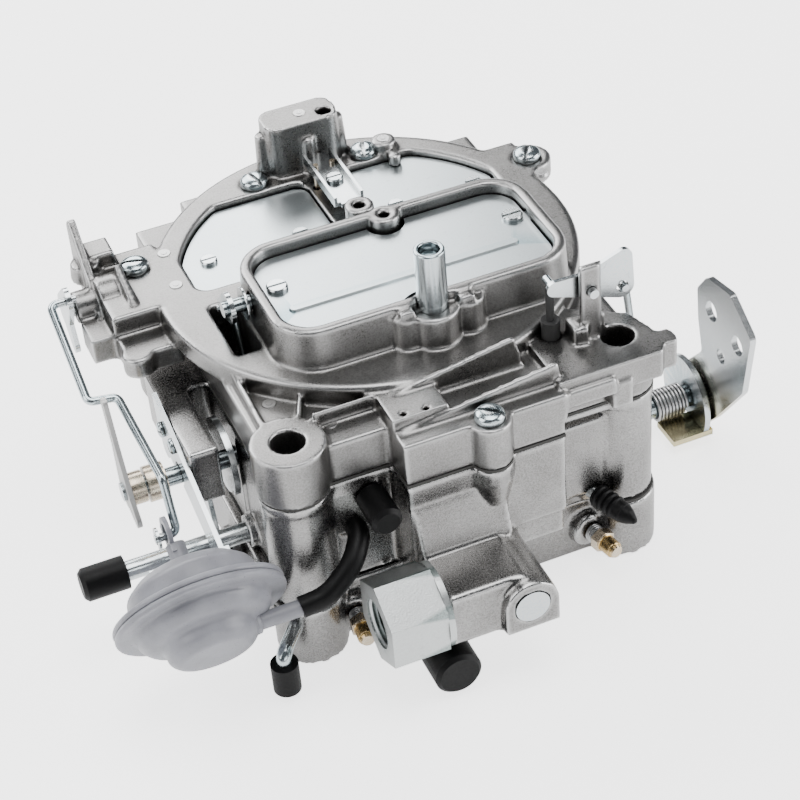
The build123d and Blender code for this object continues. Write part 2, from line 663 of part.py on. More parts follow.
# Intermediate shaft with the lower lever staked inside the bowl
choke_lower_lever = side_plate(CHOKE_LEVER_X, 1.5, arm_outline(COUNTER_AXIS, CHOKE_ARM, 5.5),
                               [pin_of(COUNTER_AXIS, CHOKE_ARM, 1.2)])
counter_shaft = tube_x(-98.5, -50.5, *COUNTER_AXIS, 3.0) + choke_lower_lever
counter_shaft.label = "intermediate_choke_shaft"
export_step(counter_shaft, "parts/intermediate_choke_shaft.step")


def cam_outline():
    """Stepped cam: three arcs of falling radius."""
    with Locations(COUNTER_AXIS):
        Circle(10.5)
    for radius, start, sweep_angle in ((14.0, 30, 120), (12.3, 150, 60)):
        with BuildLine() as step:
            rim = CenterArc(COUNTER_AXIS, radius, start, sweep_angle)
            Line(rim @ 1, COUNTER_AXIS)
            Line(COUNTER_AXIS, rim @ 0)
        make_face(step.edges())


fast_idle_cam = side_plate(-65.8, 2.0, cam_outline, [(*COUNTER_AXIS, 3.0)])
fast_idle_cam.label = "fast_idle_cam"
export_step(fast_idle_cam, "parts/fast_idle_cam.step")

CHOKE_LEVER_TIP = (9.0, 28.0)


def choke_lever_outline():
    link_outline(COUNTER_AXIS, (COUNTER_AXIS[0] + 4, COUNTER_AXIS[1] + 15), 6.0, 2.6)
    link_outline((COUNTER_AXIS[0] + 4, COUNTER_AXIS[1] + 15),
                 (COUNTER_AXIS[0] + CHOKE_LEVER_TIP[0], COUNTER_AXIS[1] + CHOKE_LEVER_TIP[1]), 2.6, 2.2)
    link_outline(COUNTER_AXIS, (COUNTER_AXIS[0] - 9, COUNTER_AXIS[1] - 5), 5.0, 2.4)


choke_lever = side_plate(-97.5, 1.5, choke_lever_outline, [(*COUNTER_AXIS, 3.0)])
choke_lever.label = "choke_lever"
export_step(choke_lever, "parts/choke_lever.step")

with BuildPart() as brass_bushings:
    add(tube_x(-95.8, -91.4, *COUNTER_AXIS, 5.2, 3.0))
    add(tube_x(-90.6, -84.5, *COUNTER_AXIS, 5.8, 3.0))
brass_bushings.part.label = "brass_bushings"
export_step(brass_bushings.part, "parts/brass_bushings.step")

# ---------------------------------------------------------------- air valve
air_shaft = shaft_with_flat(-95.5, 60.5, *AIR_AXIS, 2.5, AIR_PLATE_Z,
                            [(-WELL_X - 2, WEB_X0 + 0.1), (WEB_X1 - 0.1, WELL_X + 3)])
air_shaft.label = "air_valve_shaft"
export_step(air_shaft, "parts/air_valve_shaft.step")

AIR_SCREWS = [(-46.0, AIR_AXIS[0]), (-14.0, AIR_AXIS[0]), (20.0, AIR_AXIS[0]), (48.0, AIR_AXIS[0])]
with BuildPart() as air_valve_plates:
    with BuildSketch(Plane.XY.offset(AIR_PLATE_Z)):
        air_openings(-0.6)
        with Locations(*AIR_SCREWS):
            Circle(1.4, mode=Mode.SUBTRACT)
    extrude(amount=1.2)
air_valve_plates.part.label = "air_valve_plates"
export_step(air_valve_plates.part, "parts/air_valve_plates.step")

with BuildPart() as air_valve_screws:
    for x, y in AIR_SCREWS:
        with Locations((x, y, AIR_PLATE_Z + 1.2)):
            add(slotted_screw(2.8, 1.3, 1.4, 1.2, 0.8))
air_valve_screws.part.label = "air_valve_screws"
export_step(air_valve_screws.part, "parts/air_valve_screws.step")


def air_lever_outline():
    link_outline(AIR_AXIS, (AIR_AXIS[0] + AIR_ARM[0], AIR_AXIS[1] + AIR_ARM[1]), 6.0, 4.2)
    link_outline(AIR_AXIS, (AIR_AXIS[0] - 6, AIR_AXIS[1] - 9), 5.0, 3.0)


air_pin = pin_of(AIR_AXIS, AIR_ARM, 1.6)
air_valve_lever = side_plate(-95.5, 1.6, air_lever_outline, [(*AIR_AXIS, 2.5), air_pin])
air_valve_lever.label = "air_valve_lever"
export_step(air_valve_lever, "parts/air_valve_lever.step")

# Long rod from the air-valve lever to the tail of the vacuum break
TAIL_END = (-59.5, 50.5)
ROD_ROUTE = [(-92.2, air_pin[0], air_pin[1]), (-100.5, air_pin[0], air_pin[1]), (-100.5, -19.5, 76.5),
             (-91.5, -20.5, 75.8), (-88.6, -52.0, 66.0), (-88.6, TAIL_END[0], TAIL_END[1]),
             (-95.7, TAIL_END[0], TAIL_END[1])]
air_valve_rod = bent_rod(ROD_ROUTE, WIRE_R, 2.2)
air_valve_rod.label = "air_valve_rod"
export_step(air_valve_rod, "parts/air_valve_rod.step")

with BuildPart() as rod_clip:
    with BuildSketch(Plane(origin=(-95.2, *TAIL_END), x_dir=(0, 1, 0), z_dir=(1, 0, 0))):
        Circle(3.4)
        Circle(WIRE_R, mode=Mode.SUBTRACT)
        with Locations((0, -3)):
            Rectangle(1.6, 6, mode=Mode.SUBTRACT)
    extrude(amount=0.8)
rod_clip.part.label = "rod_clip"
export_step(rod_clip.part, "parts/rod_clip.step")

# ---------------------------------------------------------------- secondary metering rods
HANGER_Z = 91.0
HANGER_X0, HANGER_X1 = -1.6, 8.6
HANGER_SCREW = (3.5, 34.0)
with BuildPart() as metering_rod_hanger:
    with BuildSketch(Plane.XY.offset(HANGER_Z)):
        rect(HANGER_X0, HANGER_X1, 21, 50)
        rect(HANGER_X0 + 2, HANGER_X1 - 2, 19.8, 51.6)
        with Locations(*ROD_WELLS):
            Circle(1.0, mode=Mode.SUBTRACT)
        with Locations(HANGER_SCREW):
            Circle(1.5, mode=Mode.SUBTRACT)
    extrude(amount=1.5)
    block(HANGER_X0, HANGER_X0 + 1, 21, 50, HANGER_Z, HANGER_Z + 3.6)
    block(HANGER_X1 - 1, HANGER_X1, 21, 50, HANGER_Z, HANGER_Z + 3.6)
metering_rod_hanger.part.label = "metering_rod_hanger"
export_step(metering_rod_hanger.part, "parts/metering_rod_hanger.step")

with BuildPart() as hanger_screw:
    with Locations((*HANGER_SCREW, HANGER_Z + 1.5)):
        add(slotted_screw(2.9, 1.6, 1.5, 4.0, 0.8))
hanger_screw.part.label = "hanger_screw"
export_step(hanger_screw.part, "parts/hanger_screw.step")

with BuildPart() as secondary_metering_rods:
    for x, y in ROD_WELLS:
        with BuildSketch(Plane.XY.offset(40)):
            with Locations((x, y)):
                Circle(1.0)
        extrude(amount=HANGER_Z + 2.5 - 40)
secondary_metering_rods.part.label = "secondary_metering_rods"
export_step(secondary_metering_rods.part, "parts/secondary_metering_rods.step")

# ---------------------------------------------------------------- throttle shafts, plates, levers
def throttle_shaft(x0, x1, y, centres, bore):
    spans = [(x - bore - 0.3, x + bore + 0.3) for x, _ in centres]
    return shaft_with_flat(x0, x1, y, SHAFT_Z, SHAFT_R, SHAFT_Z, spans)


def throttle_plates(centres, bore, screw_x):
    with BuildPart() as plates:
        with BuildSketch(Plane.XY.offset(SHAFT_Z)):
            with Locations(*centres):
                Circle(bore - VALVE_GAP)
            for x, y in centres:
                with Locations((x - screw_x, y), (x + screw_x, y)):
                    Circle(1.5, mode=Mode.SUBTRACT)
        extrude(amount=PLATE_T)
    return plates.part


def plate_screws(centres, screw_x):
    with BuildPart() as screws:
        for x, y in centres:
            with Locations((x - screw_x, y, SHAFT_Z + PLATE_T), (x + screw_x, y, SHAFT_Z + PLATE_T)):
                add(slotted_screw(2.8, 1.4, 1.5, PLATE_T, 0.8))
    return screws.part


PRIMARY_AXIS = (PRIMARY_Y, SHAFT_Z)
SECONDARY_AXIS = (SECONDARY_Y, SHAFT_Z)
PUMP_CRANK = (-5.95, -4.57)                  # hole for the pump rod, from the primary shaft
PUMP_SLOT = (-4.70, -3.61)                   # inner end of that short slot
LINK_ARM = (8.0, -5.0)                       # pins of the secondary link; equal arms keep it level
LINK_LEVER_X = 80.2
link_pin_a = pin_of(PRIMARY_AXIS, LINK_ARM, 1.5)
link_pin_b = pin_of(SECONDARY_AXIS, LINK_ARM, 1.5)


def disc_outline():
    with Locations(PRIMARY_AXIS):
        Circle(15)
    rect(PRIMARY_Y - 20, PRIMARY_Y + 20, SHAFT_Z - 20, SHAFT_Z - 5.4, mode=Mode.SUBTRACT)


# Primary shaft with its pump crank, secondary drive lever and stop disc staked on
pump_crank = side_plate(76.6, 1.5, arm_outline(PRIMARY_AXIS, PUMP_CRANK, 6.5, 4.2),
                        [pin_of(PRIMARY_AXIS, PUMP_CRANK, 1.8), pin_of(PRIMARY_AXIS, PUMP_SLOT, 1.8)])
drive_lever = side_plate(LINK_LEVER_X, 1.6, arm_outline(PRIMARY_AXIS, LINK_ARM, 6.5, 3.2), [link_pin_a])
primary_shaft = throttle_shaft(-75, 105.5, PRIMARY_Y, primary_centres, PRIMARY_R)
primary_shaft = primary_shaft + pump_crank + drive_lever + side_plate(99.4, 2.0, disc_outline)
primary_shaft.label = "primary_throttle_shaft"
export_step(primary_shaft, "parts/primary_throttle_shaft.step")

primary_plates = throttle_plates(primary_centres, PRIMARY_R, 7)
primary_plates.label = "primary_throttle_plates"
export_step(primary_plates, "parts/primary_throttle_plates.step")

primary_screws = plate_screws(primary_centres, 7)
primary_screws.label = "primary_plate_screws"
export_step(primary_screws, "parts/primary_plate_screws.step")

driven_lever = side_plate(LINK_LEVER_X, 1.6, arm_outline(SECONDARY_AXIS, LINK_ARM, 6.5, 3.2), [link_pin_b])
secondary_shaft = throttle_shaft(-70, 82, SECONDARY_Y, secondary_centres, SECONDARY_R) + driven_lever
secondary_shaft.label = "secondary_throttle_shaft"
export_step(secondary_shaft, "parts/secondary_throttle_shaft.step")

secondary_plates = throttle_plates(secondary_centres, SECONDARY_R, 11)
secondary_plates.label = "secondary_throttle_plates"
export_step(secondary_plates, "parts/secondary_throttle_plates.step")

secondary_screws = plate_screws(secondary_centres, 11)
secondary_screws.label = "secondary_plate_screws"
export_step(secondary_screws, "parts/secondary_plate_screws.step")

LEVER_HOLES = [(-43.5, 54.5, 3.7), (-60.5, 52.0, 3.6), (-50.5, 40.5, 2.7)]


def throttle_lever_outline():
    with BuildLine() as edge:
        Polyline((-40, 66), (-55, 69), (-69, 60), (-65, 35), (-48, 12), (-40, 3), (-26, 5), (-23, 15),
                 (-29, 24), (-38, 34), (-35, 46), (-34, 58), close=True)
    with BuildSketch(mode=Mode.PRIVATE) as lever:
        make_face(edge.edges())
        fillet(lever.vertices(), 3.0)
    add(lever.sketch)


throttle_lever = side_plate(102.5, 2.2, throttle_lever_outline, [(*PRIMARY_AXIS, SHAFT_R), *LEVER_HOLES])
with BuildPart() as lever_tab:
    add(throttle_lever)
    block(88, 103, -46, -34, 3.2, 5.4)
throttle_lever = lever_tab.part
throttle_lever.label = "throttle_lever"
export_step(throttle_lever, "parts/throttle_lever.step")


throttle_return_spring = tube_x(86.5, 98.5, *PRIMARY_AXIS, 5.6, 4.0)
throttle_return_spring.label = "throttle_return_spring"
export_step(throttle_return_spring, "parts/throttle_return_spring.step")

LINK_X0, LINK_X1 = 79.2, 84.0                # ends of the link's bent-over pins
secondary_link = bent_rod([(LINK_X0, *link_pin_a[:2]), (LINK_X1, *link_pin_a[:2]),
                           (LINK_X1, *link_pin_b[:2]), (LINK_X0, *link_pin_b[:2])], 1.4, 1.8)
secondary_link.label = "secondary_link"
export_step(secondary_link, "parts/secondary_link.step")


def fast_idle_outline():
    link_outline(PRIMARY_AXIS, (-28.5, 34), 7.0, 3.0)
    link_outline(PRIMARY_AXIS, (-44, 16), 7.0, 2.4)


fast_idle_lever = side_plate(-71.6, 1.6, fast_idle_outline, [(*PRIMARY_AXIS, SHAFT_R)])
fast_idle_lever.label = "fast_idle_lever"
export_step(fast_idle_lever, "parts/fast_idle_lever.step")

# ---------------------------------------------------------------- accelerator pump
PUMP_ROD_X = 58.9
FINGER = (36.0, 102.0)                       # X and Z of the lever's finger over the plunger
CRANK_PIN = pin_of(PRIMARY_AXIS, PUMP_CRANK, 0)

with BuildPart() as pump_lever:
    with BuildSketch(Plane(origin=(0, PUMP_ARM_Y, 0), x_dir=(1, 0, 0), z_dir=(0, -1, 0))):
        link_outline(PUMP_PIVOT, FINGER, 4.2, 2.6)
        link_outline(PUMP_PIVOT, (PUMP_ROD_X - 0.4, 95.4), 4.2, 4.0)
        link_outline(PUMP_PIVOT, (PUMP_ROD_X, 106), 4.2, 3.0)
        link_outline((PUMP_ROD_X - 0.4, 95.4), (PUMP_ROD_X, 106), 4.0, 3.0)
        with Locations(PUMP_PIVOT):
            Circle(1.5 + RUNNING, mode=Mode.SUBTRACT)
        with Locations((PUMP_ROD_X - 0.4, 95.4)):
            Circle(2.0, mode=Mode.SUBTRACT)
    extrude(amount=-1.5)
    with BuildSketch(Plane(origin=(FINGER[0], PUMP_ARM_Y, FINGER[1]), x_dir=(1, 0, 0), z_dir=(0, -1, 0))):
        Circle(1.3)
    extrude(amount=-6.5)
pump_lever.part.label = "pump_lever"
export_step(pump_lever.part, "parts/pump_lever.step")

PUMP_CUP_Z = 52.0
with BuildPart() as pump_plunger:
    with Locations((PUMP_X, PUMP_Y, PUMP_CUP_Z)):
        Cylinder(6.6, 5, align=(Align.CENTER, Align.CENTER, Align.MIN))
        Cylinder(2.0, 30, align=(Align.CENTER, Align.CENTER, Align.MIN))
    with Locations((PUMP_X, PUMP_Y, 70)):
        Cylinder(2.95, 18, align=(Align.CENTER, Align.CENTER, Align.MIN))
    with Locations((PUMP_X, PUMP_Y, 88)):
        Cylinder(1.3, 12.3, align=(Align.CENTER, Align.CENTER, Align.MIN))
pump_plunger.part.label = "pump_plunger"
export_step(pump_plunger.part, "parts/pump_plunger.step")

with BuildPart() as pump_spring:
    with BuildSketch(Plane.XY.offset(36)):
        with Locations((PUMP_X, PUMP_Y)):
            Circle(5.4)
            Circle(4.4, mode=Mode.SUBTRACT)
    extrude(amount=PUMP_CUP_Z - 36)
pump_spring.part.label = "pump_spring"
export_step(pump_spring.part, "parts/pump_spring.step")

pump_rod = bent_rod([(PUMP_ROD_X, -67.7, 95.4), (PUMP_ROD_X, -59.5, 95.4), (64.5, -57, 85), (73, -46, 52),
                     (73, CRANK_PIN[0], 26), (73, CRANK_PIN[0], CRANK_PIN[1]),
                     (79.4, CRANK_PIN[0], CRANK_PIN[1])], 1.2, 1.8)
pump_rod.label = "pump_rod"
export_step(pump_rod, "parts/pump_rod.step")

# ---------------------------------------------------------------- float, needle and jets
FLOAT_AXIS = (-72.0, 63.0)                   # Y and Z of the float pin
with BuildPart() as hinge_pins:
    add(tube_x(-16, 20, *FLOAT_AXIS, 1.2))
    with BuildSketch(Plane(origin=(PUMP_PIVOT[0], -71.5, PUMP_PIVOT[1]), x_dir=(1, 0, 0), z_dir=(0, -1, 0))):
        Circle(1.5)
    extrude(amount=-8)
hinge_pins.part.label = "hinge_pins"
export_step(hinge_pins.part, "parts/hinge_pins.step")

with BuildPart() as float_part:
    block(-17, 21, -69, -59.5, 40, 56)
    fillet(float_part.edges(), 2.0)
    for x in (-12, 13):
        block(x, x + 3, -74, -66, 54, 66)
    block(-12, 16, -75.2, -73.4, 61.5, 66)
    block(1.3, 5.3, -81, -75, 63.5, 65)
    add(tube_x(-17, 21, *FLOAT_AXIS, 1.2 + RUNNING), mode=Mode.SUBTRACT)
float_part.part.label = "float"
export_step(float_part.part, "parts/float.step")

with BuildPart() as needle_seat:
    with BuildSketch(Plane.XY.offset(26.5)):
        with Locations(SEAT):
            Circle(4.0)
            Circle(2.0, mode=Mode.SUBTRACT)
    extrude(amount=12)
    with BuildSketch(Plane.XY.offset(29)):
        with Locations(SEAT):
            RegularPolygon(5.0, 6)
            Circle(2.0, mode=Mode.SUBTRACT)
    extrude(amount=3)
needle_seat.part.label = "needle_seat"
export_step(needle_seat.part, "parts/needle_seat.step")

with BuildPart() as inlet_needle:
    with BuildSketch(Plane.XY.offset(39.1)):
        with Locations(SEAT):
            Circle(2.4)
    extrude(amount=24.1)
    with BuildSketch(Plane.XY.offset(36)):
        with Locations(SEAT):
            Circle(1.6)
    extrude(amount=3.2)
inlet_needle.part.label = "inlet_needle"
export_step(inlet_needle.part, "parts/inlet_needle.step")

PISTON_BAR_Z = 60.0
with BuildPart() as power_piston:
    with BuildSketch(Plane.XY.offset(44)):
        with Locations(PISTON):
            Circle(2.4)
    extrude(amount=PISTON_BAR_Z - 44)
    block(PISTON[0] - 1.5, PISTON[0] + 1.5, -57.2, PISTON[1], PISTON_BAR_Z - 1.5, PISTON_BAR_Z)
    block(JETS[0][0] - 1.5, JETS[1][0] + 1.5, -57.2, -54.8, PISTON_BAR_Z - 1.5, PISTON_BAR_Z)
    with BuildSketch(Plane.XY.offset(PISTON_BAR_Z - 2)):
        with Locations(*JETS):
            Circle(0.9)
    extrude(amount=4, mode=Mode.SUBTRACT)
power_piston.part.label = "power_piston"
export_step(power_piston.part, "parts/power_piston.step")

with BuildPart() as power_piston_spring:
    with BuildSketch(Plane.XY.offset(34)):
        with Locations(PISTON):
            Circle(2.2)
            Circle(1.5, mode=Mode.SUBTRACT)
    extrude(amount=10)
power_piston_spring.part.label = "power_piston_spring"
export_step(power_piston_spring.part, "parts/power_piston_spring.step")

METERING_TIP_Z = 30.0                        # just inside the jets while the piston is up
with BuildPart() as primary_metering_rods:
    with BuildSketch(Plane.XY.offset(METERING_TIP_Z)):
        with Locations(*JETS):
            Circle(0.9)
    extrude(amount=PISTON_BAR_Z + 1.5 - METERING_TIP_Z)
primary_metering_rods.part.label = "primary_metering_rods"
export_step(primary_metering_rods.part, "parts/primary_metering_rods.step")

with BuildPart() as main_jets:
    with BuildSketch(Plane.XY.offset(26.5)):
        with Locations(*JETS):
            Circle(3.5)
            Circle(1.4, mode=Mode.SUBTRACT)
    extrude(amount=4.5)
main_jets.part.label = "main_jets"
export_step(main_jets.part, "parts/main_jets.step")

# ---------------------------------------------------------------- fuel inlet
NUT_FLATS = 25.4
NUT_X = BLOCK_X0 - 2.0                       # inner face of the hexagon; its washer fills the 2 mm
NUT_LENGTH = 18.0
INLET_HOLE_R = 7.9                           # 5/8-18 thread of the fuel line
nut_plane = Plane(origin=(NUT_X, INLET_Y, INLET_Z), x_dir=(0, 1, 0), z_dir=(-1, 0, 0))
nut_mouth = Plane(origin=(NUT_X - NUT_LENGTH, INLET_Y, INLET_Z), x_dir=(0, 1, 0), z_dir=(1, 0, 0))
with BuildPart() as inlet_nut:
    with BuildSketch(nut_plane):
        RegularPolygon(NUT_FLATS / 2, 6, major_radius=False, rotation=30)
    extrude(amount=NUT_LENGTH)
    with BuildSketch(nut_plane):
        Circle(13.4)
    extrude(amount=-2.0)
    with BuildSketch(nut_plane):
        Circle(INLET_THREAD_R)
    extrude(amount=-10)
    with BuildSketch(nut_mouth):
        Circle(INLET_HOLE_R)
    extrude(amount=14, mode=Mode.SUBTRACT)
    with BuildSketch(nut_mouth):
        Circle(5.0)
    extrude(amount=40, mode=Mode.SUBTRACT)
inlet_nut.part.label = "inlet_nut"
export_step(inlet_nut.part, "parts/inlet_nut.step")

fuel_filter = tube_x(BLOCK_X0 + 8, BLOCK_X1 - 2, INLET_Y, INLET_Z, 6.5, 3.5)
fuel_filter.label = "fuel_filter"
export_step(fuel_filter, "parts/fuel_filter.step")

with BuildPart() as inlet_plug:
    with BuildSketch(Plane(origin=(PLUG[0], PLUG_FACE + 3, PLUG[1]), x_dir=(1, 0, 0), z_dir=(0, -1, 0))):
        Circle(PLUG_R)
    extrude(amount=3.2)
inlet_plug.part.label = "inlet_plug"
export_step(inlet_plug.part, "parts/inlet_plug.step")

# ---------------------------------------------------------------- adjusting screws
def mixture_screw(origin, direction):
    """Brass needle screw: point, thread, collar and slotted head."""
    start = tuple(Vector(origin) - Vector(direction) * MIXTURE_DEPTH)
    return turned(start, direction,
                  [(0, 0), (1.0, 1.0), (2.4, 3.0), (2.4, 19.4), (2.0, 19.4), (2.0, 23.0), (3.3, 23.0),
                   (3.3, 26.0), (2.6, 26.6), (2.6, 31.0), (2.0, 32.0), (0, 32.0)])


for side, (origin, direction) in MIXTURE.items():
    screw = mixture_screw(origin, direction)
    screw.label = f"mixture_screw_{side}"
    export_step(screw, f"parts/mixture_screw_{side}.step")

idle_speed_screw = turned((IDLE_X, -47.5, IDLE_Z), (0, -1, 0),
                          [(0, 0), (1.4, 0), (IDLE_R, 1), (IDLE_R, 21), (4.0, 21), (4.0, 24), (3.4, 24.6),
                           (0, 24.6)])
idle_speed_screw.label = "idle_speed_screw"
export_step(idle_speed_screw, "parts/idle_speed_screw.step")

with BuildPart() as adjusting_screw_springs:
    for origin, direction in MIXTURE.values():
        add(turned(tuple(Vector(origin) + Vector(direction) * 10.2), direction,
                   [(2.6, 0), (3.1, 0), (3.1, 3.5), (2.6, 3.5)]))
    add(turned((IDLE_X, -60.2, IDLE_Z), (0, -1, 0), [(2.4, 0), (3.4, 0), (3.4, 8.0), (2.4, 8.0)]))
adjusting_screw_springs.part.label = "adjusting_screw_springs"
export_step(adjusting_screw_springs.part, "parts/adjusting_screw_springs.step")

# ---------------------------------------------------------------- vacuum break
can_plane = Plane(origin=CAN_CENTRE, x_dir=(1, 0, 0), z_dir=(0, -CAN_BACK[1], -CAN_BACK[2]))


def on_can(profile):
    """Turned piece on the can's axis; distances are forward from the rim plane."""
    with BuildPart() as piece:
        with BuildSketch(Plane.XZ):
            with BuildLine():
                Polyline(*profile, close=True)
            make_face()
        revolve(axis=Axis.Z)
    return can_plane.location * piece.part


can = on_can([(4.5, -13), (15, -13), (20, -9), (21, -2), (27, -2), (27, 0), (18.5, 0), (18, -8), (14, -11),
              (4.5, -11)])
can.label = "vacuum_break_can"
export_step(can, "parts/vacuum_break_can.step")

cover = on_can([(0, 15), (11, 15), (14, 13), (14.5, 8), (19, 7.5), (21, 5), (21, 2.2), (27, 2.2), (27, 0),
                (18.5, 0), (18.5, 4), (12, 6), (12, 12.5), (0, 12.5)])
nipple_centre = tuple(Vector(CAN_CENTRE) + Vector(0, -CAN_BACK[1], -CAN_BACK[2]) * 9.5)
cover = cover + tube_x(CAN_CENTRE[0] + 13.5, -62, nipple_centre[1], nipple_centre[2], 2.6)
cover.label = "vacuum_break_cover"
export_step(cover, "parts/vacuum_break_cover.step")

# Diaphragm plate, stem and flat slotted tail, all on the can's axis
plunger = on_can([(0, 11.5), (11.4, 11.5), (11.4, 10), (3.0, 10), (3.0, -22), (0, -22)])
tail_plane = Plane(origin=(-91.0, CAN_CENTRE[1], CAN_CENTRE[2]), x_dir=CAN_BACK, z_dir=(-1, 0, 0))
with BuildPart() as tail:
    with BuildSketch(tail_plane):
        rect(19, 30.2, -3.5, 3.5)
        with Locations((26.0, -1.4)):
            Circle(5.0)
            Circle(3.1, mode=Mode.SUBTRACT)
    extrude(amount=1.4)
plunger = plunger + tail.part
plunger.label = "vacuum_break_plunger"
export_step(plunger, "parts/vacuum_break_plunger.step")

# Bracket: flat strip on the lug, running forward and down, then turned behind the can
def strip_outline():
    with BuildLine() as edge:
        Polyline((-14, 68), (-37, 61.5), (-72.8, 50.1), (-67.4, 39.5), (-44, 46), (-16, 52), close=True)
    make_face(edge.edges())


strip = side_plate(BRACKET_X - 1.5, 1.5, strip_outline,
                   [(*COUNTER_AXIS, 4.0), *[(y, z, 1.5) for y, z in BRACKET_SCREWS]])
with BuildPart() as foot:
    with BuildSketch(Plane(origin=tuple(Vector(CAN_CENTRE) + Vector(CAN_BACK) * 13.0), x_dir=(1, 0, 0),
                           z_dir=CAN_BACK)):
        rect(-11, 14, -6.0, 6.0)
        Circle(4.5, mode=Mode.SUBTRACT)
    extrude(amount=1.5)
bracket = strip + foot.part
bracket.label = "vacuum_break_bracket"
export_step(bracket, "parts/vacuum_break_bracket.step")

# ---------------------------------------------------------------- vacuum tubes, caps and hose
HOSE_ROUTE = [(-62, nipple_centre[1], nipple_centre[2]), (-53, -90.5, nipple_centre[2] + 1), (-43.5, -88, 42),
              (-38, -81, 46), (-38, -74, 46)]
LEFT_TUBE = (-46.0, 29.0)
ELBOW = [(-60.9, -79.2, 16.5), (-69.5, -90, 16.5), (-69.5, -90, 4)]
RIGHT_DIR = (0.36, -0.92, -0.12)
RIGHT_TUBE = (41.0, -76.0, 28.0)
FRONT_TUBE = (-32.0, -74.0, 56.0)
PCV_TUBE = (PCV_X, -69.0, PCV_Z)

with BuildPart() as vacuum_tubes:
    add(tube_x(-112, -61, *LEFT_TUBE, 3.2, 2.2))
    add(bent_rod(ELBOW, 2.4, 3.0))
    add(turned(PCV_TUBE, (0, -1, 0), [(4.6, 0), (PCV_R, 0), (PCV_R, 40), (4.6, 40)]))
    add(turned(FRONT_TUBE, (0, -1, 0), [(2.0, 0), (3.0, 0), (3.0, 13), (2.0, 13)]))
    add(turned(RIGHT_TUBE, RIGHT_DIR, [(0, -1.5), (2.4, -1.5), (2.4, 14), (0, 14)]))
vacuum_tubes.part.label = "vacuum_tubes"
export_step(vacuum_tubes.part, "parts/vacuum_tubes.step")

with BuildPart() as rubber_caps:
    add(turned((-104, *LEFT_TUBE), (-1, 0, 0), cap_profile(5.4, 3.2, 12, 2.5)))
    add(turned((-69.5, -90, 13.4), (0, 0, -1), cap_profile(4.4, 2.4, 10.2, 1.8)))
    add(turned((PCV_X, -98, PCV_Z), (0, -1, 0), cap_profile(7.6, PCV_R, 14.5, 2.2)))
    add(turned((-32, -77.5, 56), (0, -1, 0), cap_profile(4.9, 3.0, 11.5, 2.0)))
    cap_start = tuple(Vector(RIGHT_TUBE) + Vector(RIGHT_DIR) * 3.5)
    add(turned(cap_start, RIGHT_DIR, cap_profile(3.4, 2.4, 10.6, 2.0)))
rubber_caps.part.label = "rubber_caps"
export_step(rubber_caps.part, "parts/rubber_caps.step")

HOSE_R = 3.4


def corner_radii(route):
    """Bend radius at each corner: 0.45 of the shorter run over the tangent of half the turn."""
    radii = []
    for a, b, c in zip(route, route[1:], route[2:]):
        into, out = Vector(b) - Vector(a), Vector(c) - Vector(b)
        half_turn = radians(into.get_angle(out) / 2)
        radii.append(0.45 * min(into.length, out.length) * cos(half_turn) / sin(half_turn))
    return radii


print("hose bends", [round(r, 1) for r in corner_radii(HOSE_ROUTE)])
with BuildPart() as vacuum_hose:
    with BuildLine() as hose_path:
        FilletPolyline(*HOSE_ROUTE, radius=corner_radii(HOSE_ROUTE))
    with BuildSketch(Plane(origin=HOSE_ROUTE[0], z_dir=hose_path.line % 0)):
        Circle(HOSE_R)
    sweep()
hose_length = sum(edge.length for edge in hose_path.edges())
print("hose length", round(hose_length, 1), "volume ratio",
      round(vacuum_hose.part.volume / (hose_length * pi * HOSE_R ** 2), 3))
vacuum_hose.part.label = "vacuum_hose"
export_step(vacuum_hose.part, "parts/vacuum_hose.step")
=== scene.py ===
"""Four-barrel spread-bore carburetor on a pale studio floor."""
import math
import random

import bmesh
import bpy
from mathutils import Matrix, Vector


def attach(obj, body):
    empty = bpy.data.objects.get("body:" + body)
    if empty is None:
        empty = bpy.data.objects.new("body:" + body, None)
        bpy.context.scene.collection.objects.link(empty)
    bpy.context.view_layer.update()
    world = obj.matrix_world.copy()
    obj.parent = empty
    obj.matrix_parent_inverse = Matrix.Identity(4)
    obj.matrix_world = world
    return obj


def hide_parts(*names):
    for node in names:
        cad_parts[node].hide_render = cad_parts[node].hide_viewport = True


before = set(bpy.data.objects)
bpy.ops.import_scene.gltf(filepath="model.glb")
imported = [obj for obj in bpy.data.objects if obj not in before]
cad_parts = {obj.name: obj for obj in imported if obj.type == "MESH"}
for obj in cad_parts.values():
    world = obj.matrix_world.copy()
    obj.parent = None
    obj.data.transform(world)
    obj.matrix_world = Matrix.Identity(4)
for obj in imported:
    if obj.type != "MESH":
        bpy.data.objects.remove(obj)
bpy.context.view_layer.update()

MM = 0.001
scene = bpy.context.scene
random.seed(7)


# ---------------------------------------------------------------- throttle body
# The lower casting: pressure die-cast aluminium alloy, bead blasted, with the mounting flange, four
# bores and the bearings of both throttle shafts.  Its edges are rounded as they leave the die.
def tree_of(material):
    """Empty node tree of a material with its shader, ready to wire."""
    material.use_nodes = True
    nodes = material.node_tree.nodes
    nodes.clear()
    shader = nodes.new("ShaderNodeBsdfPrincipled")
    output = nodes.new("ShaderNodeOutputMaterial")
    material.node_tree.links.new(shader.outputs[0], output.inputs[0])
    return material.node_tree, shader


def noise(tree, vector, scale, detail, roughness):
    """Noise over the object's own coordinates; scale is in cycles per metre."""
    texture = tree.nodes.new("ShaderNodeTexNoise")
    texture.inputs["Scale"].default_value = scale
    texture.inputs["Detail"].default_value = detail
    texture.inputs["Roughness"].default_value = roughness
    tree.links.new(vector, texture.inputs["Vector"])
    return texture.outputs["Fac"]


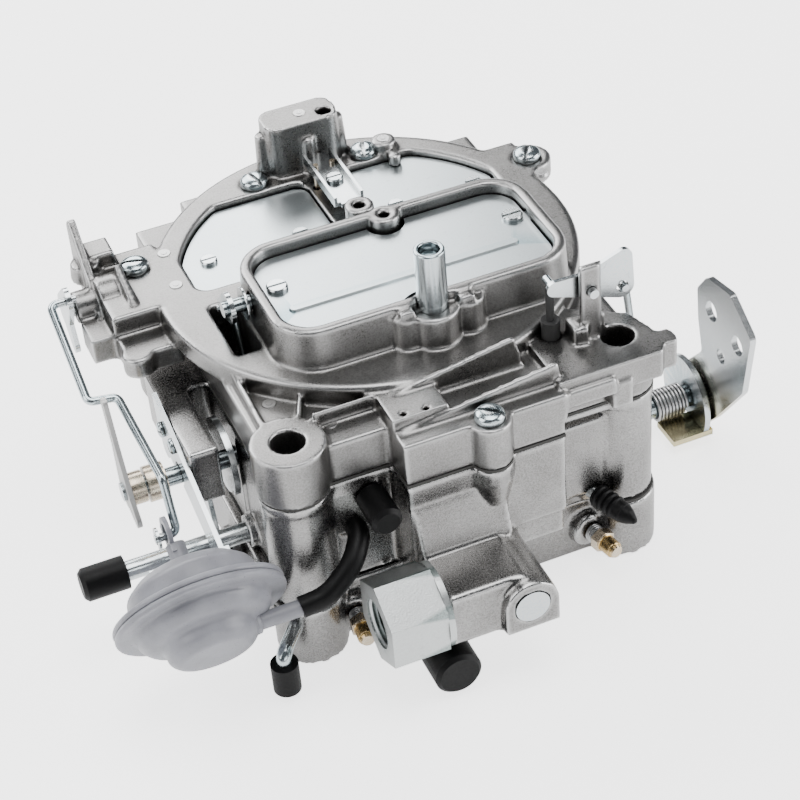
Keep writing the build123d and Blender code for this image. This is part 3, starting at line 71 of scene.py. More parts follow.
def spread(tree, value, low, high, out_low=0.0, out_high=1.0):
    """Value mapped from one range to another, held at both ends."""
    ranges = tree.nodes.new("ShaderNodeMapRange")
    limits = {"From Min": low, "From Max": high, "To Min": out_low, "To Max": out_high}
    for socket, number in limits.items():
        ranges.inputs[socket].default_value = number
    tree.links.new(value, ranges.inputs["Value"])
    return ranges.outputs[0]


def mixed(tree, factor, a, b, blend="MIX"):
    """Colour mix; a and b are colours or sockets."""
    mix = tree.nodes.new("ShaderNodeMix")
    mix.data_type = "RGBA"
    mix.blend_type = blend
    if isinstance(factor, float):
        mix.inputs["Factor"].default_value = factor
    else:
        tree.links.new(factor, mix.inputs["Factor"])
    for socket, colour in ((mix.inputs[6], a), (mix.inputs[7], b)):
        if isinstance(colour, tuple):
            socket.default_value = (*colour, 1)
        else:
            tree.links.new(colour, socket)
    return mix.outputs[2]


def maths(tree, operation, a, b):
    """One arithmetic step on two numbers or sockets."""
    node = tree.nodes.new("ShaderNodeMath")
    node.operation = operation
    for socket, value in zip(node.inputs, (a, b)):
        if isinstance(value, (int, float)):
            socket.default_value = value
        else:
            tree.links.new(value, socket)
    return node.outputs[0]


def new_group(name, inputs, outputs):
    """Shader node group with float or colour sockets; returns its tree and its two ends."""
    tree = bpy.data.node_groups.new(name, "ShaderNodeTree")
    for label, kind, value in inputs:
        socket = tree.interface.new_socket(label, in_out="INPUT", socket_type=kind)
        socket.default_value = value
    for label, kind in outputs:
        tree.interface.new_socket(label, in_out="OUTPUT", socket_type=kind)
    return tree, tree.nodes.new("NodeGroupInput"), tree.nodes.new("NodeGroupOutput")


def blasted_metal_group():
    """Grain of a bead-blasted or plated surface, with painted shade darkening its crevices: colour, roughness
    and height.
    """
    tree, given, result = new_group(
        "blasted_metal",
        [("Dark", "NodeSocketColor", (0.4, 0.4, 0.4, 1)), ("Light", "NodeSocketColor", (0.7, 0.7, 0.7, 1)),
         ("Grain", "NodeSocketFloat", 0.5), ("Smooth", "NodeSocketFloat", 0.3),
         ("Rough", "NodeSocketFloat", 0.5), ("Crevice", "NodeSocketFloat", 0.5)],
        [("Color", "NodeSocketColor"), ("Roughness", "NodeSocketFloat"), ("Height", "NodeSocketFloat")])
    place = tree.nodes.new("ShaderNodeTexCoord").outputs["Object"]
    cloud_scale, bead_scale, fleck_scale = 45, 1900, 700
    cloud_share, bead_share, fleck_share = 0.45, 0.55, 0.16
    # The third colour is the near-black of the painted shade in crevices.
    edge_light, fleck_dark, painted_crevice_shade = (0.86, 0.86, 0.86), (0.2, 0.2, 0.2), (0.07, 0.065, 0.06)
    crevice_width = 7 * MM
    clouds = spread(tree, noise(tree, place, cloud_scale, 4, 0.6), 0.3, 0.7)
    speckle = spread(tree, noise(tree, place, bead_scale, 3, 0.65), 0.35, 0.65)
    flecks = spread(tree, noise(tree, place, fleck_scale, 2, 0.5), 0.62, 0.74)
    tone = maths(tree, "ADD", maths(tree, "MULTIPLY", clouds, cloud_share),
                 maths(tree, "MULTIPLY", speckle, bead_share))
    colour = mixed(tree, tone, given.outputs["Dark"], given.outputs["Light"])
    geometry = tree.nodes.new("ShaderNodeNewGeometry")
    edge = spread(tree, geometry.outputs["Pointiness"], 0.505, 0.56)
    colour = mixed(tree, maths(tree, "MULTIPLY", edge, 0.5), colour, edge_light)
    # Painted shade: ambient occlusion within the crevice width darkens crevices and gaps between parts
    # towards near-black, scaled by the Crevice input.
    occlusion = tree.nodes.new("ShaderNodeAmbientOcclusion")
    occlusion.samples = 6
    occlusion.inputs["Distance"].default_value = crevice_width
    shaded = spread(tree, occlusion.outputs["AO"], 0.25, 0.85, 1, 0)
    colour = mixed(tree, maths(tree, "MULTIPLY", shaded, given.outputs["Crevice"]), colour, painted_crevice_shade)
    colour = mixed(tree, maths(tree, "MULTIPLY", flecks, fleck_share), colour, fleck_dark)
    gloss = tree.nodes.new("ShaderNodeMapRange")
    tree.links.new(tone, gloss.inputs["Value"])
    tree.links.new(given.outputs["Smooth"], gloss.inputs["To Min"])
    tree.links.new(given.outputs["Rough"], gloss.inputs["To Max"])
    height = maths(tree, "MULTIPLY", maths(tree, "ADD", speckle, clouds), given.outputs["Grain"])
    tree.links.new(colour, result.inputs["Color"])
    tree.links.new(gloss.outputs[0], result.inputs["Roughness"])
    tree.links.new(height, result.inputs["Height"])
    return tree


blasted_metal = blasted_metal_group()


def metal(name, dark, light, smooth, rough, grain=0.5, crevice=0.5, depth=0.04, tint=None):
    """Metal finish from the shared grain and its painted crevice shade, as strong as crevice says; tint is a
    colour and the heights where it starts and is full.
    """
    material = bpy.data.materials.new(name)
    tree, shader = tree_of(material)
    surface = tree.nodes.new("ShaderNodeGroup")
    surface.node_tree = blasted_metal
    surface.inputs["Dark"].default_value = (*dark, 1)
    surface.inputs["Light"].default_value = (*light, 1)
    for socket, number in (("Grain", grain), ("Smooth", smooth), ("Rough", rough), ("Crevice", crevice)):
        surface.inputs[socket].default_value = number
    shader.inputs["Metallic"].default_value = 1.0
    colour = surface.outputs["Color"]
    if tint:
        hue, fade, full = tint
        split = tree.nodes.new("ShaderNodeSeparateXYZ")
        tree.links.new(tree.nodes.new("ShaderNodeTexCoord").outputs["Object"], split.inputs[0])
        colour = mixed(tree, spread(tree, split.outputs["Z"], full, fade, 1, 0), colour, hue, "MULTIPLY")
    tree.links.new(colour, shader.inputs["Base Color"])
    tree.links.new(surface.outputs["Roughness"], shader.inputs["Roughness"])
    bump = tree.nodes.new("ShaderNodeBump")
    bump.inputs["Strength"].default_value = 0.55
    bump.inputs["Distance"].default_value = depth * MM
    tree.links.new(surface.outputs["Height"], bump.inputs["Height"])
    tree.links.new(bump.outputs[0], shader.inputs["Normal"])
    return material


def show(piece, material, body):
    """Gives a new piece its finish and fixes it to its body."""
    piece.data.materials.clear()
    piece.data.materials.append(material)
    if piece.name not in scene.collection.objects:
        scene.collection.objects.link(piece)
    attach(piece, body)
    return piece


def add_box(bm, x0, x1, y0, y1, z0, z1):
    """Closed box in millimetres."""
    made = bmesh.ops.create_cube(bm, size=1.0)
    for vert in made["verts"]:
        vert.co = Vector(((x0 + x1) / 2 + vert.co.x * (x1 - x0), (y0 + y1) / 2 + vert.co.y * (y1 - y0),
                          (z0 + z1) / 2 + vert.co.z * (z1 - z0))) * MM


def add_post(bm, start, end, r0, r1=None, sides=40):
    """Closed round post or cone between two points, in millimetres."""
    a, b = Vector(start) * MM, Vector(end) * MM
    turn = (b - a).to_track_quat("Z", "Y").to_matrix().to_4x4()
    place = Matrix.Translation((a + b) / 2) @ turn
    bmesh.ops.create_cone(bm, cap_ends=True, segments=sides, radius1=r0 * MM,
                          radius2=(r0 if r1 is None else r1) * MM, depth=(b - a).length, matrix=place)


def add_prism(bm, outline, shift):
    """Closed prism: outline points in millimetres, moved by shift for the far face."""
    near = [bm.verts.new(Vector(p) * MM) for p in outline]
    far = [bm.verts.new((Vector(p) + Vector(shift)) * MM) for p in outline]
    bm.faces.new(near)
    bm.faces.new(list(reversed(far)))
    for i in range(len(near)):
        j = (i + 1) % len(near)
        bm.faces.new((near[j], near[i], far[i], far[j]))


def lathe(bm, origin, direction, profile, closed=False, sides=48):
    """Turned surface: profile is (radius, distance along direction) in millimetres."""
    axis = Vector(direction).normalized()
    turn = axis.to_track_quat("Z", "Y").to_matrix()
    rings = []
    for radius, distance in profile:
        middle = Vector(origin) + axis * distance
        if radius == 0:
            rings.append([bm.verts.new(middle * MM)])
            continue
        angles = [2 * math.pi * k / sides for k in range(sides)]
        rings.append([bm.verts.new((middle + turn @ Vector((math.cos(a), math.sin(a), 0)) * radius) * MM)
                      for a in angles])
    pairs = list(zip(rings, rings[1:]))
    if closed:
        pairs.append((rings[-1], rings[0]))
    for a, b in pairs:
        for k in range(sides):
            n = (k + 1) % sides
            if len(a) == 1:
                bm.faces.new((a[0], b[n], b[k]))
            elif len(b) == 1:
                bm.faces.new((a[k], a[n], b[0]))
            else:
                bm.faces.new((a[k], a[n], b[n], b[k]))


def rounded(profile, radius):
    """Profile with its inner corners rounded."""
    points = [Vector(p) for p in profile]
    out = [points[0]]
    for before, corner, after in zip(points, points[1:], points[2:]):
        into, away = before - corner, after - corner
        reach = min(radius, into.length / 2, away.length / 2)
        start, end = corner + into.normalized() * reach, corner + away.normalized() * reach
        for step in range(5):
            s = step / 4
            out.append((1 - s) ** 2 * start + 2 * s * (1 - s) * corner + s ** 2 * end)
    out.append(points[-1])
    return [tuple(point) for point in out]


def finished(name, bm, sharp=40):
    """New object from a built mesh, smooth except at its sharp edges."""
    bmesh.ops.recalc_face_normals(bm, faces=bm.faces)
    mesh = bpy.data.meshes.new(name)
    bm.to_mesh(mesh)
    bm.free()
    mesh.shade_smooth()
    mesh.set_sharp_from_angle(angle=math.radians(sharp))
    return bpy.data.objects.new(name, mesh)


def casting(name, node, material, voxel, soften, details=None):
    """A CAD casting with its small cast-on details, refilled and softened to the die's edge radii."""
    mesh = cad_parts[node].data.copy()
    bm = bmesh.new()
    bm.from_mesh(mesh)
    if details:
        details(bm)
    bmesh.ops.remove_doubles(bm, verts=bm.verts, dist=0.002 * MM)
    bmesh.ops.recalc_face_normals(bm, faces=bm.faces)
    bm.to_mesh(mesh)
    bm.free()
    rough_shape = bpy.data.objects.new(name, mesh)
    scene.collection.objects.link(rough_shape)
    fill = rough_shape.modifiers.new("die_fill", "REMESH")
    fill.mode = "VOXEL"
    fill.voxel_size = voxel * MM
    fill.use_smooth_shade = True
    radius = rough_shape.modifiers.new("die_radius", "SMOOTH")
    radius.factor = 0.5
    radius.iterations = soften
    bpy.context.view_layer.update()
    evaluated = rough_shape.evaluated_get(bpy.context.evaluated_depsgraph_get())
    rough_shape.data = bpy.data.meshes.new_from_object(evaluated)
    rough_shape.modifiers.clear()
    rough_shape.data.shade_smooth()
    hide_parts(node)
    return show(rough_shape, material, "root")


cast_alloy = metal("cast_alloy", (0.17, 0.165, 0.16), (0.38, 0.375, 0.37), 0.24, 0.40, grain=0.6, crevice=0.9)
lower_alloy = metal("lower_alloy", (0.17, 0.165, 0.16), (0.42, 0.415, 0.41), 0.18, 0.34, grain=0.6,
                    crevice=0.75)
casting("throttle_body_casting", "throttle_body", lower_alloy, 0.9, 3)


# ---------------------------------------------------------------- gaskets
# Two gaskets of compressed fibre sheet, stamped out and clamped between the castings.  Only their
# dark edges show.
def matte(name, colour, roughness, bump_scale, bump_depth, tint=0.25, subsurface=0.0, specular=0.5):
    """Non-metal surface with cloudy colour and a fine moulded texture."""
    material = bpy.data.materials.new(name)
    tree, shader = tree_of(material)
    place = tree.nodes.new("ShaderNodeTexCoord").outputs["Object"]
    clouds = spread(tree, noise(tree, place, 90, 4, 0.6), 0.3, 0.7)
    lighter = tuple(min(1.0, c * (1 + tint) + 0.001) for c in colour)
    tree.links.new(mixed(tree, clouds, colour, lighter), shader.inputs["Base Color"])
    fine = noise(tree, place, bump_scale, 3, 0.6)
    worn = spread(tree, fine, 0.3, 0.7, roughness - 0.08, roughness + 0.1)
    tree.links.new(worn, shader.inputs["Roughness"])
    bump = tree.nodes.new("ShaderNodeBump")
    bump.inputs["Strength"].default_value = 0.5
    bump.inputs["Distance"].default_value = bump_depth * MM
    tree.links.new(fine, bump.inputs["Height"])
    tree.links.new(bump.outputs[0], shader.inputs["Normal"])
    shader.inputs["Subsurface Weight"].default_value = subsurface
    shader.inputs["Subsurface Radius"].default_value = (1.0, 1.0, 1.0)
    shader.inputs["Subsurface Scale"].default_value = 3 * MM
    shader.inputs["Specular IOR Level"].default_value = specular
    return material


def finish_node(node, material, bevel=0.0, segments=2):
    """Keeps a CAD node, with a finish and, where asked, its edges broken."""
    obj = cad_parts[node]
    obj.data.materials.clear()
    obj.data.materials.append(material)
    if bevel:
        broken = obj.modifiers.new("broken_edges", "BEVEL")
        broken.width = bevel * MM
        broken.segments = segments
        broken.limit_method = "ANGLE"
        broken.angle_limit = math.radians(35)


gasket_fibre = matte("gasket_fibre", (0.035, 0.034, 0.032), 0.75, 2500, 0.03)
for gasket in ("bowl_base_gasket", "air_horn_gasket"):
    finish_node(gasket, gasket_fibre)


# ---------------------------------------------------------------- float bowl
# The middle casting holds the fuel and both air passages.  Ribs, pads and bosses on its outside
# stiffen it and carry the fittings.
def bowl_details(bm):
    """Side ribs, front pads, screw post, cast feet and the round bosses of the fittings."""
    for x in (-58.5, 58.5):
        for y in (-40, -8, 20, 44):
            add_box(bm, x - 3.4, x + 3.4, y - 1.4, y + 1.4, 26, 60)
    add_box(bm, -50, -28, -76.5, -72, 44, 60)
    add_box(bm, 28, 46, -78.5, -74, 28, 58)
    add_post(bm, (3.9, -86.5, 44), (3.9, -87, 58), 3.0, 6.4)
    add_post(bm, (3.9, -87, 58), (3.9, -87, 64), 6.4)
    # cast feet and webs under the front wall
    add_box(bm, 50, 58, -72, -64, 23, 30)
    add_prism(bm, [(28, -62, 24), (28, -74, 24), (28, -62, 40)], (3, 0, 0))
    add_prism(bm, [(-30, -62, 24), (-30, -75, 24), (-30, -62, 44)], (3, 0, 0))
    add_post(bm, (-32, -70, 56), (-32, -76, 56), 5.2)
    add_post(bm, (-38, -70, 46), (-38, -75.5, 46), 4.6)
    add_post(bm, (41, -70, 28), (41, -76.8, 28), 4.6)
    add_post(bm, (-60, -46, 29), (-64, -46, 29), 5.4)


casting("float_bowl_casting", "float_bowl", lower_alloy, 0.9, 3, bowl_details)


# ---------------------------------------------------------------- air horn
# The upper casting: air-cleaner ring, choke wall, pump-lever post and the ear of the air-valve
# bearing.  It is blasted to an even satin grey, and round marks show where pins pushed it from its die.
PIN_MARKS = [(-58.3, 30.5, 86.0), (-60.2, 12.2, 86.0), (-51.9, -49.2, 79.0), (-38.9, -66.4, 79.0),
             (-5.7, -48.3, 97.0), (14.2, -48.2, 97.0), (1.7, 59.3, 105.0), (69.3, 14.0, 86.0),
             (28.5, 53.0, 90.0)]


def horn_details(bm):
    """Cast-on bosses, lugs and ribs of the air horn."""
    # grooves and shoulder of the tall rear boss
    for x in (-12.4, -6.2, 14.2):
        add_post(bm, (x, 58.5, 80), (x, 59, 101), 3.4, 2.4)
    add_post(bm, (1.5, 52.6, 80), (1.5, 52.8, 99), 3.0, 2.2)
    # stubs on the vent boss beside the tube
    add_box(bm, -8.6, -4.0, -52.6, -49.6, 96, 99.2)
    add_box(bm, 10.6, 15.4, -53.4, -50.4, 96, 99.2)
    # rounded end and lug of the left ear
    add_post(bm, (-84, 33, 84), (-84, 33, 90), 5.2, 4.6)
    add_post(bm, (-80, -6, 72), (-80, -6, 79), 5.0)
    add_prism(bm, [(-84, 4, 71), (-84, -8, 71), (-66, -8, 71), (-60, 4, 71)], (0, 0, 8))
    # small post and stub beside the right rear screw
    add_post(bm, (28.5, 53, 84), (28.5, 53, 90), 4.2)
    add_post(bm, (29.4, 45.5, 84), (29.4, 45.5, 88), 2.2)
    add_post(bm, (28.5, 53, 86.5), (29.4, 45.5, 86.5), 1.6)
    # ribs from the ring to the left front pad
    add_prism(bm, [(-58.5, -26, 84), (-58.9, -63, 82), (-58.9, -63, 72), (-58.5, -26, 72)], (1.8, 0, 0))
    add_prism(bm, [(-42.5, -50, 83), (-48.5, -64, 82), (-48.5, -64, 72), (-42.5, -50, 72)], (1.7, 0.5, 0))


casting("air_horn_casting", "air_horn", cast_alloy, 0.7, 3, horn_details)


def pin_mark(bm, x, y, z, radius=2.5):
    """Raised ring with a small cone in the middle, as an ejector pin leaves."""
    for outer, height in ((radius, 0.28), (radius * 0.45, 0.4)):
        add_post(bm, (x, y, z - 0.6), (x, y, z + height), outer, outer * 0.82, 28)


marks = bpy.data.meshes.new("pin_marks")
bm = bmesh.new()
for mark in PIN_MARKS:
    pin_mark(bm, *mark)
bm.to_mesh(marks)
bm.free()
show(bpy.data.objects.new("pin_marks", marks), cast_alloy, "root")


# ---------------------------------------------------------------- plated steel parts
# Levers, rods, shafts, screws and tubes are steel with bright zinc plating, bluish with a faint
# yellow and violet cast where the passivation is thicker.
zinc = metal("zinc_plating", (0.34, 0.41, 0.44), (0.62, 0.71, 0.74), 0.14, 0.28, grain=0.25,
             crevice=0.6, depth=0.02)
zinc_plate = metal("zinc_sheet", (0.36, 0.47, 0.51), (0.50, 0.63, 0.67), 0.28, 0.36, grain=0.15,
                   crevice=0.3, depth=0.02)
# Each plated node with the width of its broken edges
PLATED = {
    "vent_tube": 0.0, "hinge_pins": 0.2, "inlet_plug": 0.3,
    "vacuum_break_bracket": 0.3, "vacuum_tubes": 0.2, "primary_throttle_shaft": 0.3,
    "fast_idle_lever": 0.3, "secondary_throttle_shaft": 0.3, "secondary_link": 0.0, "pump_lever": 0.3,
    "pump_rod": 0.0, "choke_shaft": 0.3, "choke_valve_screws": 0.25, "choke_rod": 0.0,
    "intermediate_choke_shaft": 0.3, "fast_idle_cam": 0.3, "air_valve_shaft": 0.2, "air_valve_screws": 0.2,
    "air_valve_lever": 0.3, "air_valve_rod": 0.0, "rod_clip": 0.15, "metering_rod_hanger": 0.25,
    "hanger_screw": 0.2, "idle_speed_screw": 0.2,
}
for node, bevel in PLATED.items():
    finish_node(node, zinc, bevel)
for node in ("choke_valve_plate", "air_valve_plates"):
    finish_node(node, zinc_plate, 0.25)
yellow_zinc = metal("yellow_zinc", (0.34, 0.38, 0.40), (0.62, 0.67, 0.69), 0.16, 0.30, grain=0.3, crevice=0.4,
                    depth=0.02, tint=((1.0, 0.86, 0.52), 0.034, 0.010))
finish_node("throttle_lever", yellow_zinc, 0.35)


# ---------------------------------------------------------------- slotted screws
# Cheese-head screws with domed, slotted heads hold the air horn, and two small ones the bracket.
# They are turned steel, zinc plated, and each was left at the angle where it came tight.
HORN_SCREWS = [(-18.3, 54.5, 85.6), (21.3, 54.0, 85.6), (-69.2, 27.4, 85.6), (69.3, 24.9, 85.6),
               (3.9, -87.0, 80.0)]
BRACKET_SCREWS = [(-79.5, -21.0, 58.5), (-79.5, -32.5, 60.5)]


def domed_head(bm, cutter, origin, direction, radius, height, shank_r, shank_l, slot, turn):
    """Head and shank of a slotted screw, and the box that cuts its slot."""
    profile = [(0, height), (radius * 0.55, height * 0.97), (radius * 0.86, height * 0.82),
               (radius, height * 0.55), (radius, 0.0), (shank_r, 0.0), (shank_r, -shank_l), (0, -shank_l)]
    lathe(bm, origin, direction, rounded(profile, 0.5))
    axis = Vector(direction).normalized()
    across = axis.orthogonal().normalized()
    across.rotate(Matrix.Rotation(turn, 3, axis))
    side = axis.cross(across)
    middle = Vector(origin) + axis * height
    made = bmesh.ops.create_cube(cutter, size=1.0)
    for vert in made["verts"]:
        vert.co = (middle + across * vert.co.x * radius * 2.4 + side * vert.co.y * slot
                   + axis * vert.co.z * height * 0.95) * MM


heads, cuts = bmesh.new(), bmesh.new()
for place in HORN_SCREWS:
    domed_head(heads, cuts, place, (0, 0, 1), 4.7, 3.3, 2.3, 12, 1.25, random.uniform(0, math.pi))
for place in BRACKET_SCREWS:
    domed_head(heads, cuts, place, (-1, 0, 0), 2.6, 1.7, 1.4, 4.5, 0.8, random.uniform(0, math.pi))
screws = finished("horn_screws", heads)
slots = finished("slot_cutter", cuts)
for piece in (screws, slots):
    scene.collection.objects.link(piece)
slotted = screws.modifiers.new("slots", "BOOLEAN")
slotted.operation = "DIFFERENCE"
slotted.solver = "EXACT"
slotted.object = slots
bpy.context.view_layer.update()
cut_mesh = bpy.data.meshes.new_from_object(screws.evaluated_get(bpy.context.evaluated_depsgraph_get()))
screws.modifiers.clear()
screws.data = cut_mesh
bpy.data.objects.remove(slots)
edges = screws.modifiers.new("rolled_edges", "BEVEL")
edges.width = 0.18 * MM
edges.segments = 2
edges.angle_limit = math.radians(50)
show(screws, zinc, "root")
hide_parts("assembly_screws")


# ---------------------------------------------------------------- vent disc and choke washer
# A pressed disc closes the vent tube below its rim, and a flat washer sits on the choke shaft.
# Both are plated steel.
VENT_AXIS = (3.0, -49.5, 0)
DISC_R, DISC_TOP, DISC_BASE = 3.15, 115.6, 114.4
CHOKE_WASHER = (-47.3, -18.0, 94.2)
bm = bmesh.new()
lathe(bm, VENT_AXIS, (0, 0, 1),
      rounded([(0, DISC_TOP), (2.3, DISC_TOP), (DISC_R, 115.0), (DISC_R, DISC_BASE), (0, DISC_BASE)], 0.3))
show(finished("vent_disc", bm), zinc_plate, "root")
bm = bmesh.new()
lathe(bm, CHOKE_WASHER, (1, 0, 0),
      [(2.6, 0), (5.2, 0), (5.4, 0.2), (5.4, 0.7), (5.2, 0.9), (2.6, 0.9)], closed=True)
show(finished("choke_washer", bm), zinc, "choke_valve")


# ---------------------------------------------------------------- inlet nut
# The nut is turned from hexagon bar, barrel plated and duller than the rest.  Its mouth is threaded
# for the fuel line, shown here as a row of rings in place of the helix.
dull_zinc = metal("dull_zinc", (0.17, 0.20, 0.20), (0.40, 0.46, 0.45), 0.30, 0.46, grain=0.9,
                  crevice=0.8, depth=0.05)
INLET_MOUTH = (-42.4, -103.9, 30.7)
THREAD_PITCH, THREAD_TURNS = 1.4, 9
THREAD_ROOT_R, THREAD_CREST_R, THREAD_OUTER_R = 7.85, 7.25, 7.88
THREAD_LENGTH = 12.7
finish_node("inlet_nut", dull_zinc, 0.6, 3)
bm = bmesh.new()
thread = [(THREAD_OUTER_R, 0)]
for turn_number in range(THREAD_TURNS):
    start = turn_number * THREAD_PITCH
    thread += [(THREAD_ROOT_R, start), (THREAD_CREST_R, start + 0.6), (THREAD_CREST_R, start + 0.8),
               (THREAD_ROOT_R, start + 1.35)]
lathe(bm, INLET_MOUTH, (1, 0, 0), thread + [(THREAD_OUTER_R, THREAD_LENGTH)], sides=64)
show(finished("inlet_thread", bm, 25), dull_zinc, "root")


# ---------------------------------------------------------------- brass parts
# Mixture screws, bushings, jets, throttle plates and metering rods are turned or punched brass.
# The fuel filter is a sintered bronze cup.
brass = metal("brass", (0.42, 0.26, 0.06), (0.72, 0.47, 0.13), 0.18, 0.34, grain=0.2, crevice=0.6, depth=0.02)
for node in ("brass_bushings", "mixture_screw_left", "mixture_screw_right", "needle_seat", "main_jets",
             "primary_plate_screws", "secondary_plate_screws", "primary_throttle_plates",
             "secondary_throttle_plates", "secondary_metering_rods", "primary_metering_rods", "power_piston"):
    finish_node(node, brass, 0.15)
# Each mixture screw has a hexagon collar and a barrel end
MIXTURE_SCREWS = {"left": ((-39.5, -68.0, 11.0), (-0.12, -0.99, 0.0)),
                  "right": ((39.0, -68.0, 11.0), (0.2, -0.98, 0.0))}
COLLAR_START, COLLAR_END, COLLAR_R = 13.9, 17.1, 4.0
BARREL_START, BARREL_R, BARREL_L = 17.0, 2.9, 5.2


def along(origin, direction, distance):
    """Point at a distance from an origin."""
    return Vector(origin) + Vector(direction).normalized() * distance


for side, (origin, direction) in MIXTURE_SCREWS.items():
    bm = bmesh.new()
    add_post(bm, along(origin, direction, COLLAR_START), along(origin, direction, COLLAR_END), COLLAR_R,
             sides=6)
    barrel = [(0, BARREL_L), (2.2, BARREL_L), (BARREL_R, 4.6), (BARREL_R, 0.4), (2.4, 0), (0, 0)]
    lathe(bm, along(origin, direction, BARREL_START), direction, rounded(barrel, 0.4))
    collar = show(finished(f"mixture_collar_{side}", bm), brass, f"mixture_screw_{side}")
    worn = collar.modifiers.new("turned_edges", "BEVEL")
    worn.width = 0.3 * MM
    worn.segments = 2
bronze = metal("sintered_bronze", (0.32, 0.2, 0.09), (0.55, 0.36, 0.18), 0.5, 0.7, grain=1.0, crevice=0.6)
finish_node("fuel_filter", bronze)

# ---------------------------------------------------------------- dark steel parts
# The outer choke lever is phosphated steel, dull brown-black, held on its shaft.  The inlet needle
# is hardened and dark.
dark_steel = metal("dark_steel", (0.10, 0.095, 0.085), (0.24, 0.23, 0.21), 0.35, 0.55, grain=0.4)
for node in ("choke_lever", "inlet_needle"):
    finish_node(node, dark_steel, 0.2)

# ---------------------------------------------------------------- vacuum break
# The vacuum break is a can and a stepped cover of translucent grey nylon, moulded and welded round
# the rim.  Its plunger pulls the air-valve rod.
nylon = matte("grey_nylon", (0.21, 0.212, 0.235), 0.34, 1200, 0.02, tint=0.35, subsurface=0.35)
CAN_MIDDLE = (-90.5, -82.0, 38.5)
CAN_FORWARD = (0.0, -0.887, -0.462)
RIM_R, INNER_R = 27, 18.5
NIPPLE_Y, NIPPLE_Z, NIPPLE_R = -90.43, 34.11, 2.6
COVER_PROFILE = [(0, 15), (11.4, 15), (14.2, 12.6), (14.5, 8.6), (18.6, 7.6), (21, 5.0), (21.4, 2.3),
                 (RIM_R, 2.2), (RIM_R, 0), (INNER_R, 0), (INNER_R, 4), (12, 6), (12, 12.5), (0, 12.5)]
CAN_PROFILE = [(4.5, -13), (15, -13), (20, -9), (21, -2.2), (RIM_R, -2), (RIM_R, 0), (INNER_R, 0),
               (18, -8), (14, -11)]
bm = bmesh.new()
lathe(bm, CAN_MIDDLE, CAN_FORWARD, rounded(COVER_PROFILE, 1.5), sides=96)
add_post(bm, (-78, NIPPLE_Y, NIPPLE_Z), (-62, NIPPLE_Y, NIPPLE_Z), NIPPLE_R)
lathe(bm, (-76.8, NIPPLE_Y, NIPPLE_Z), (1, 0, 0), [(0, 0), (3.6, 0), (3.4, 1.4), (2.7, 1.9), (0, 1.9)])
cover = show(finished("moulded_cover", bm, 50), nylon, "root")
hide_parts("vacuum_break_cover")
bm = bmesh.new()
lathe(bm, CAN_MIDDLE, CAN_FORWARD, rounded(CAN_PROFILE, 1.4) + [(4.5, -11)], closed=True, sides=96)
can = show(finished("moulded_can", bm, 50), nylon, "root")
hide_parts("vacuum_break_can")
finish_node("vacuum_break_plunger", nylon, 0.4, 3)

# ---------------------------------------------------------------- rubber parts
# Caps and hose are moulded black rubber with a slight bloom.  They are pushed over their tubes and
# held by their own stretch.
rubber = matte("black_rubber", (0.0008, 0.0008, 0.001), 0.46, 1600, 0.02, tint=0.1, specular=0.2)
finish_node("rubber_caps", rubber, 0.9, 4)
finish_node("vacuum_hose", rubber, 0.3)
# The small cap at the right is ribbed round its collar and drawn to a point
CAP_BASE, CAP_DIRECTION = (42.26, -79.22, 27.58), (0.36, -0.92, -0.12)
CAP_R, RIB_R, RIB_PITCH, RIB_COUNT = 3.5, 3.95, 2.2, 4
ribs = [(2.45, 0)]
for rib in range(RIB_COUNT):
    ribs += [(CAP_R, 0.5 + rib * RIB_PITCH), (RIB_R, 1.0 + rib * RIB_PITCH),
             (RIB_R, 1.6 + rib * RIB_PITCH), (CAP_R, 2.1 + rib * RIB_PITCH)]
bm = bmesh.new()
lathe(bm, CAP_BASE, CAP_DIRECTION, rounded(ribs + [(CAP_R, 10.8), (2.6, 13.6), (0.9, 16.4), (0, 16.8)], 0.3))
show(finished("ribbed_cap", bm), rubber, "root")

# ---------------------------------------------------------------- float and pump plunger
# Both are inside the bowl: a float of closed-cell plastic and a plunger with a moulded cup.
black_plastic = matte("black_plastic", (0.03, 0.03, 0.03), 0.5, 900, 0.03)
for node in ("float", "pump_plunger"):
    finish_node(node, black_plastic, 0.3)

# ---------------------------------------------------------------- springs
# Springs are wound from round steel wire.  Those of the adjusting screws keep the screws from
# turning by themselves, and the return spring shuts the throttle.
spring_steel = metal("spring_steel", (0.16, 0.16, 0.165), (0.42, 0.42, 0.43), 0.25, 0.4, grain=0.2)


def coil(name, start, end, radius, wire, turns):
    """Helical spring between two points, in millimetres."""
    a, b = Vector(start) * MM, Vector(end) * MM
    turn = (b - a).to_track_quat("Z", "Y").to_matrix()
    steps = int(turns * 24)
    curve = bpy.data.curves.new(name, "CURVE")
    curve.dimensions = "3D"
    line = curve.splines.new("POLY")
    line.points.add(steps)
    for i, point in enumerate(line.points):
        angle = 2 * math.pi * turns * i / steps
        rise = (b - a).length * i / steps
        spot = a + turn @ Vector((math.cos(angle) * radius * MM, math.sin(angle) * radius * MM, rise))
        point.co = (*spot, 1)
    curve.bevel_depth = wire / 2 * MM
    curve.bevel_resolution = 3
    curve.use_fill_caps = True
    return bpy.data.objects.new(name, curve)


SPRING_START, SPRING_END = 10.4, 13.6
for side, (origin, direction) in MIXTURE_SCREWS.items():
    spring = coil(f"mixture_spring_{side}", along(origin, direction, SPRING_START),
                  along(origin, direction, SPRING_END), 2.75, 0.75, 4)
    show(spring, spring_steel, "root")
idle_spring = coil("idle_spring", (-70.5, -60.6, 16), (-70.5, -67.8, 16), 2.9, 0.8, 7)
show(idle_spring, spring_steel, "root")
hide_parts("adjusting_screw_springs")
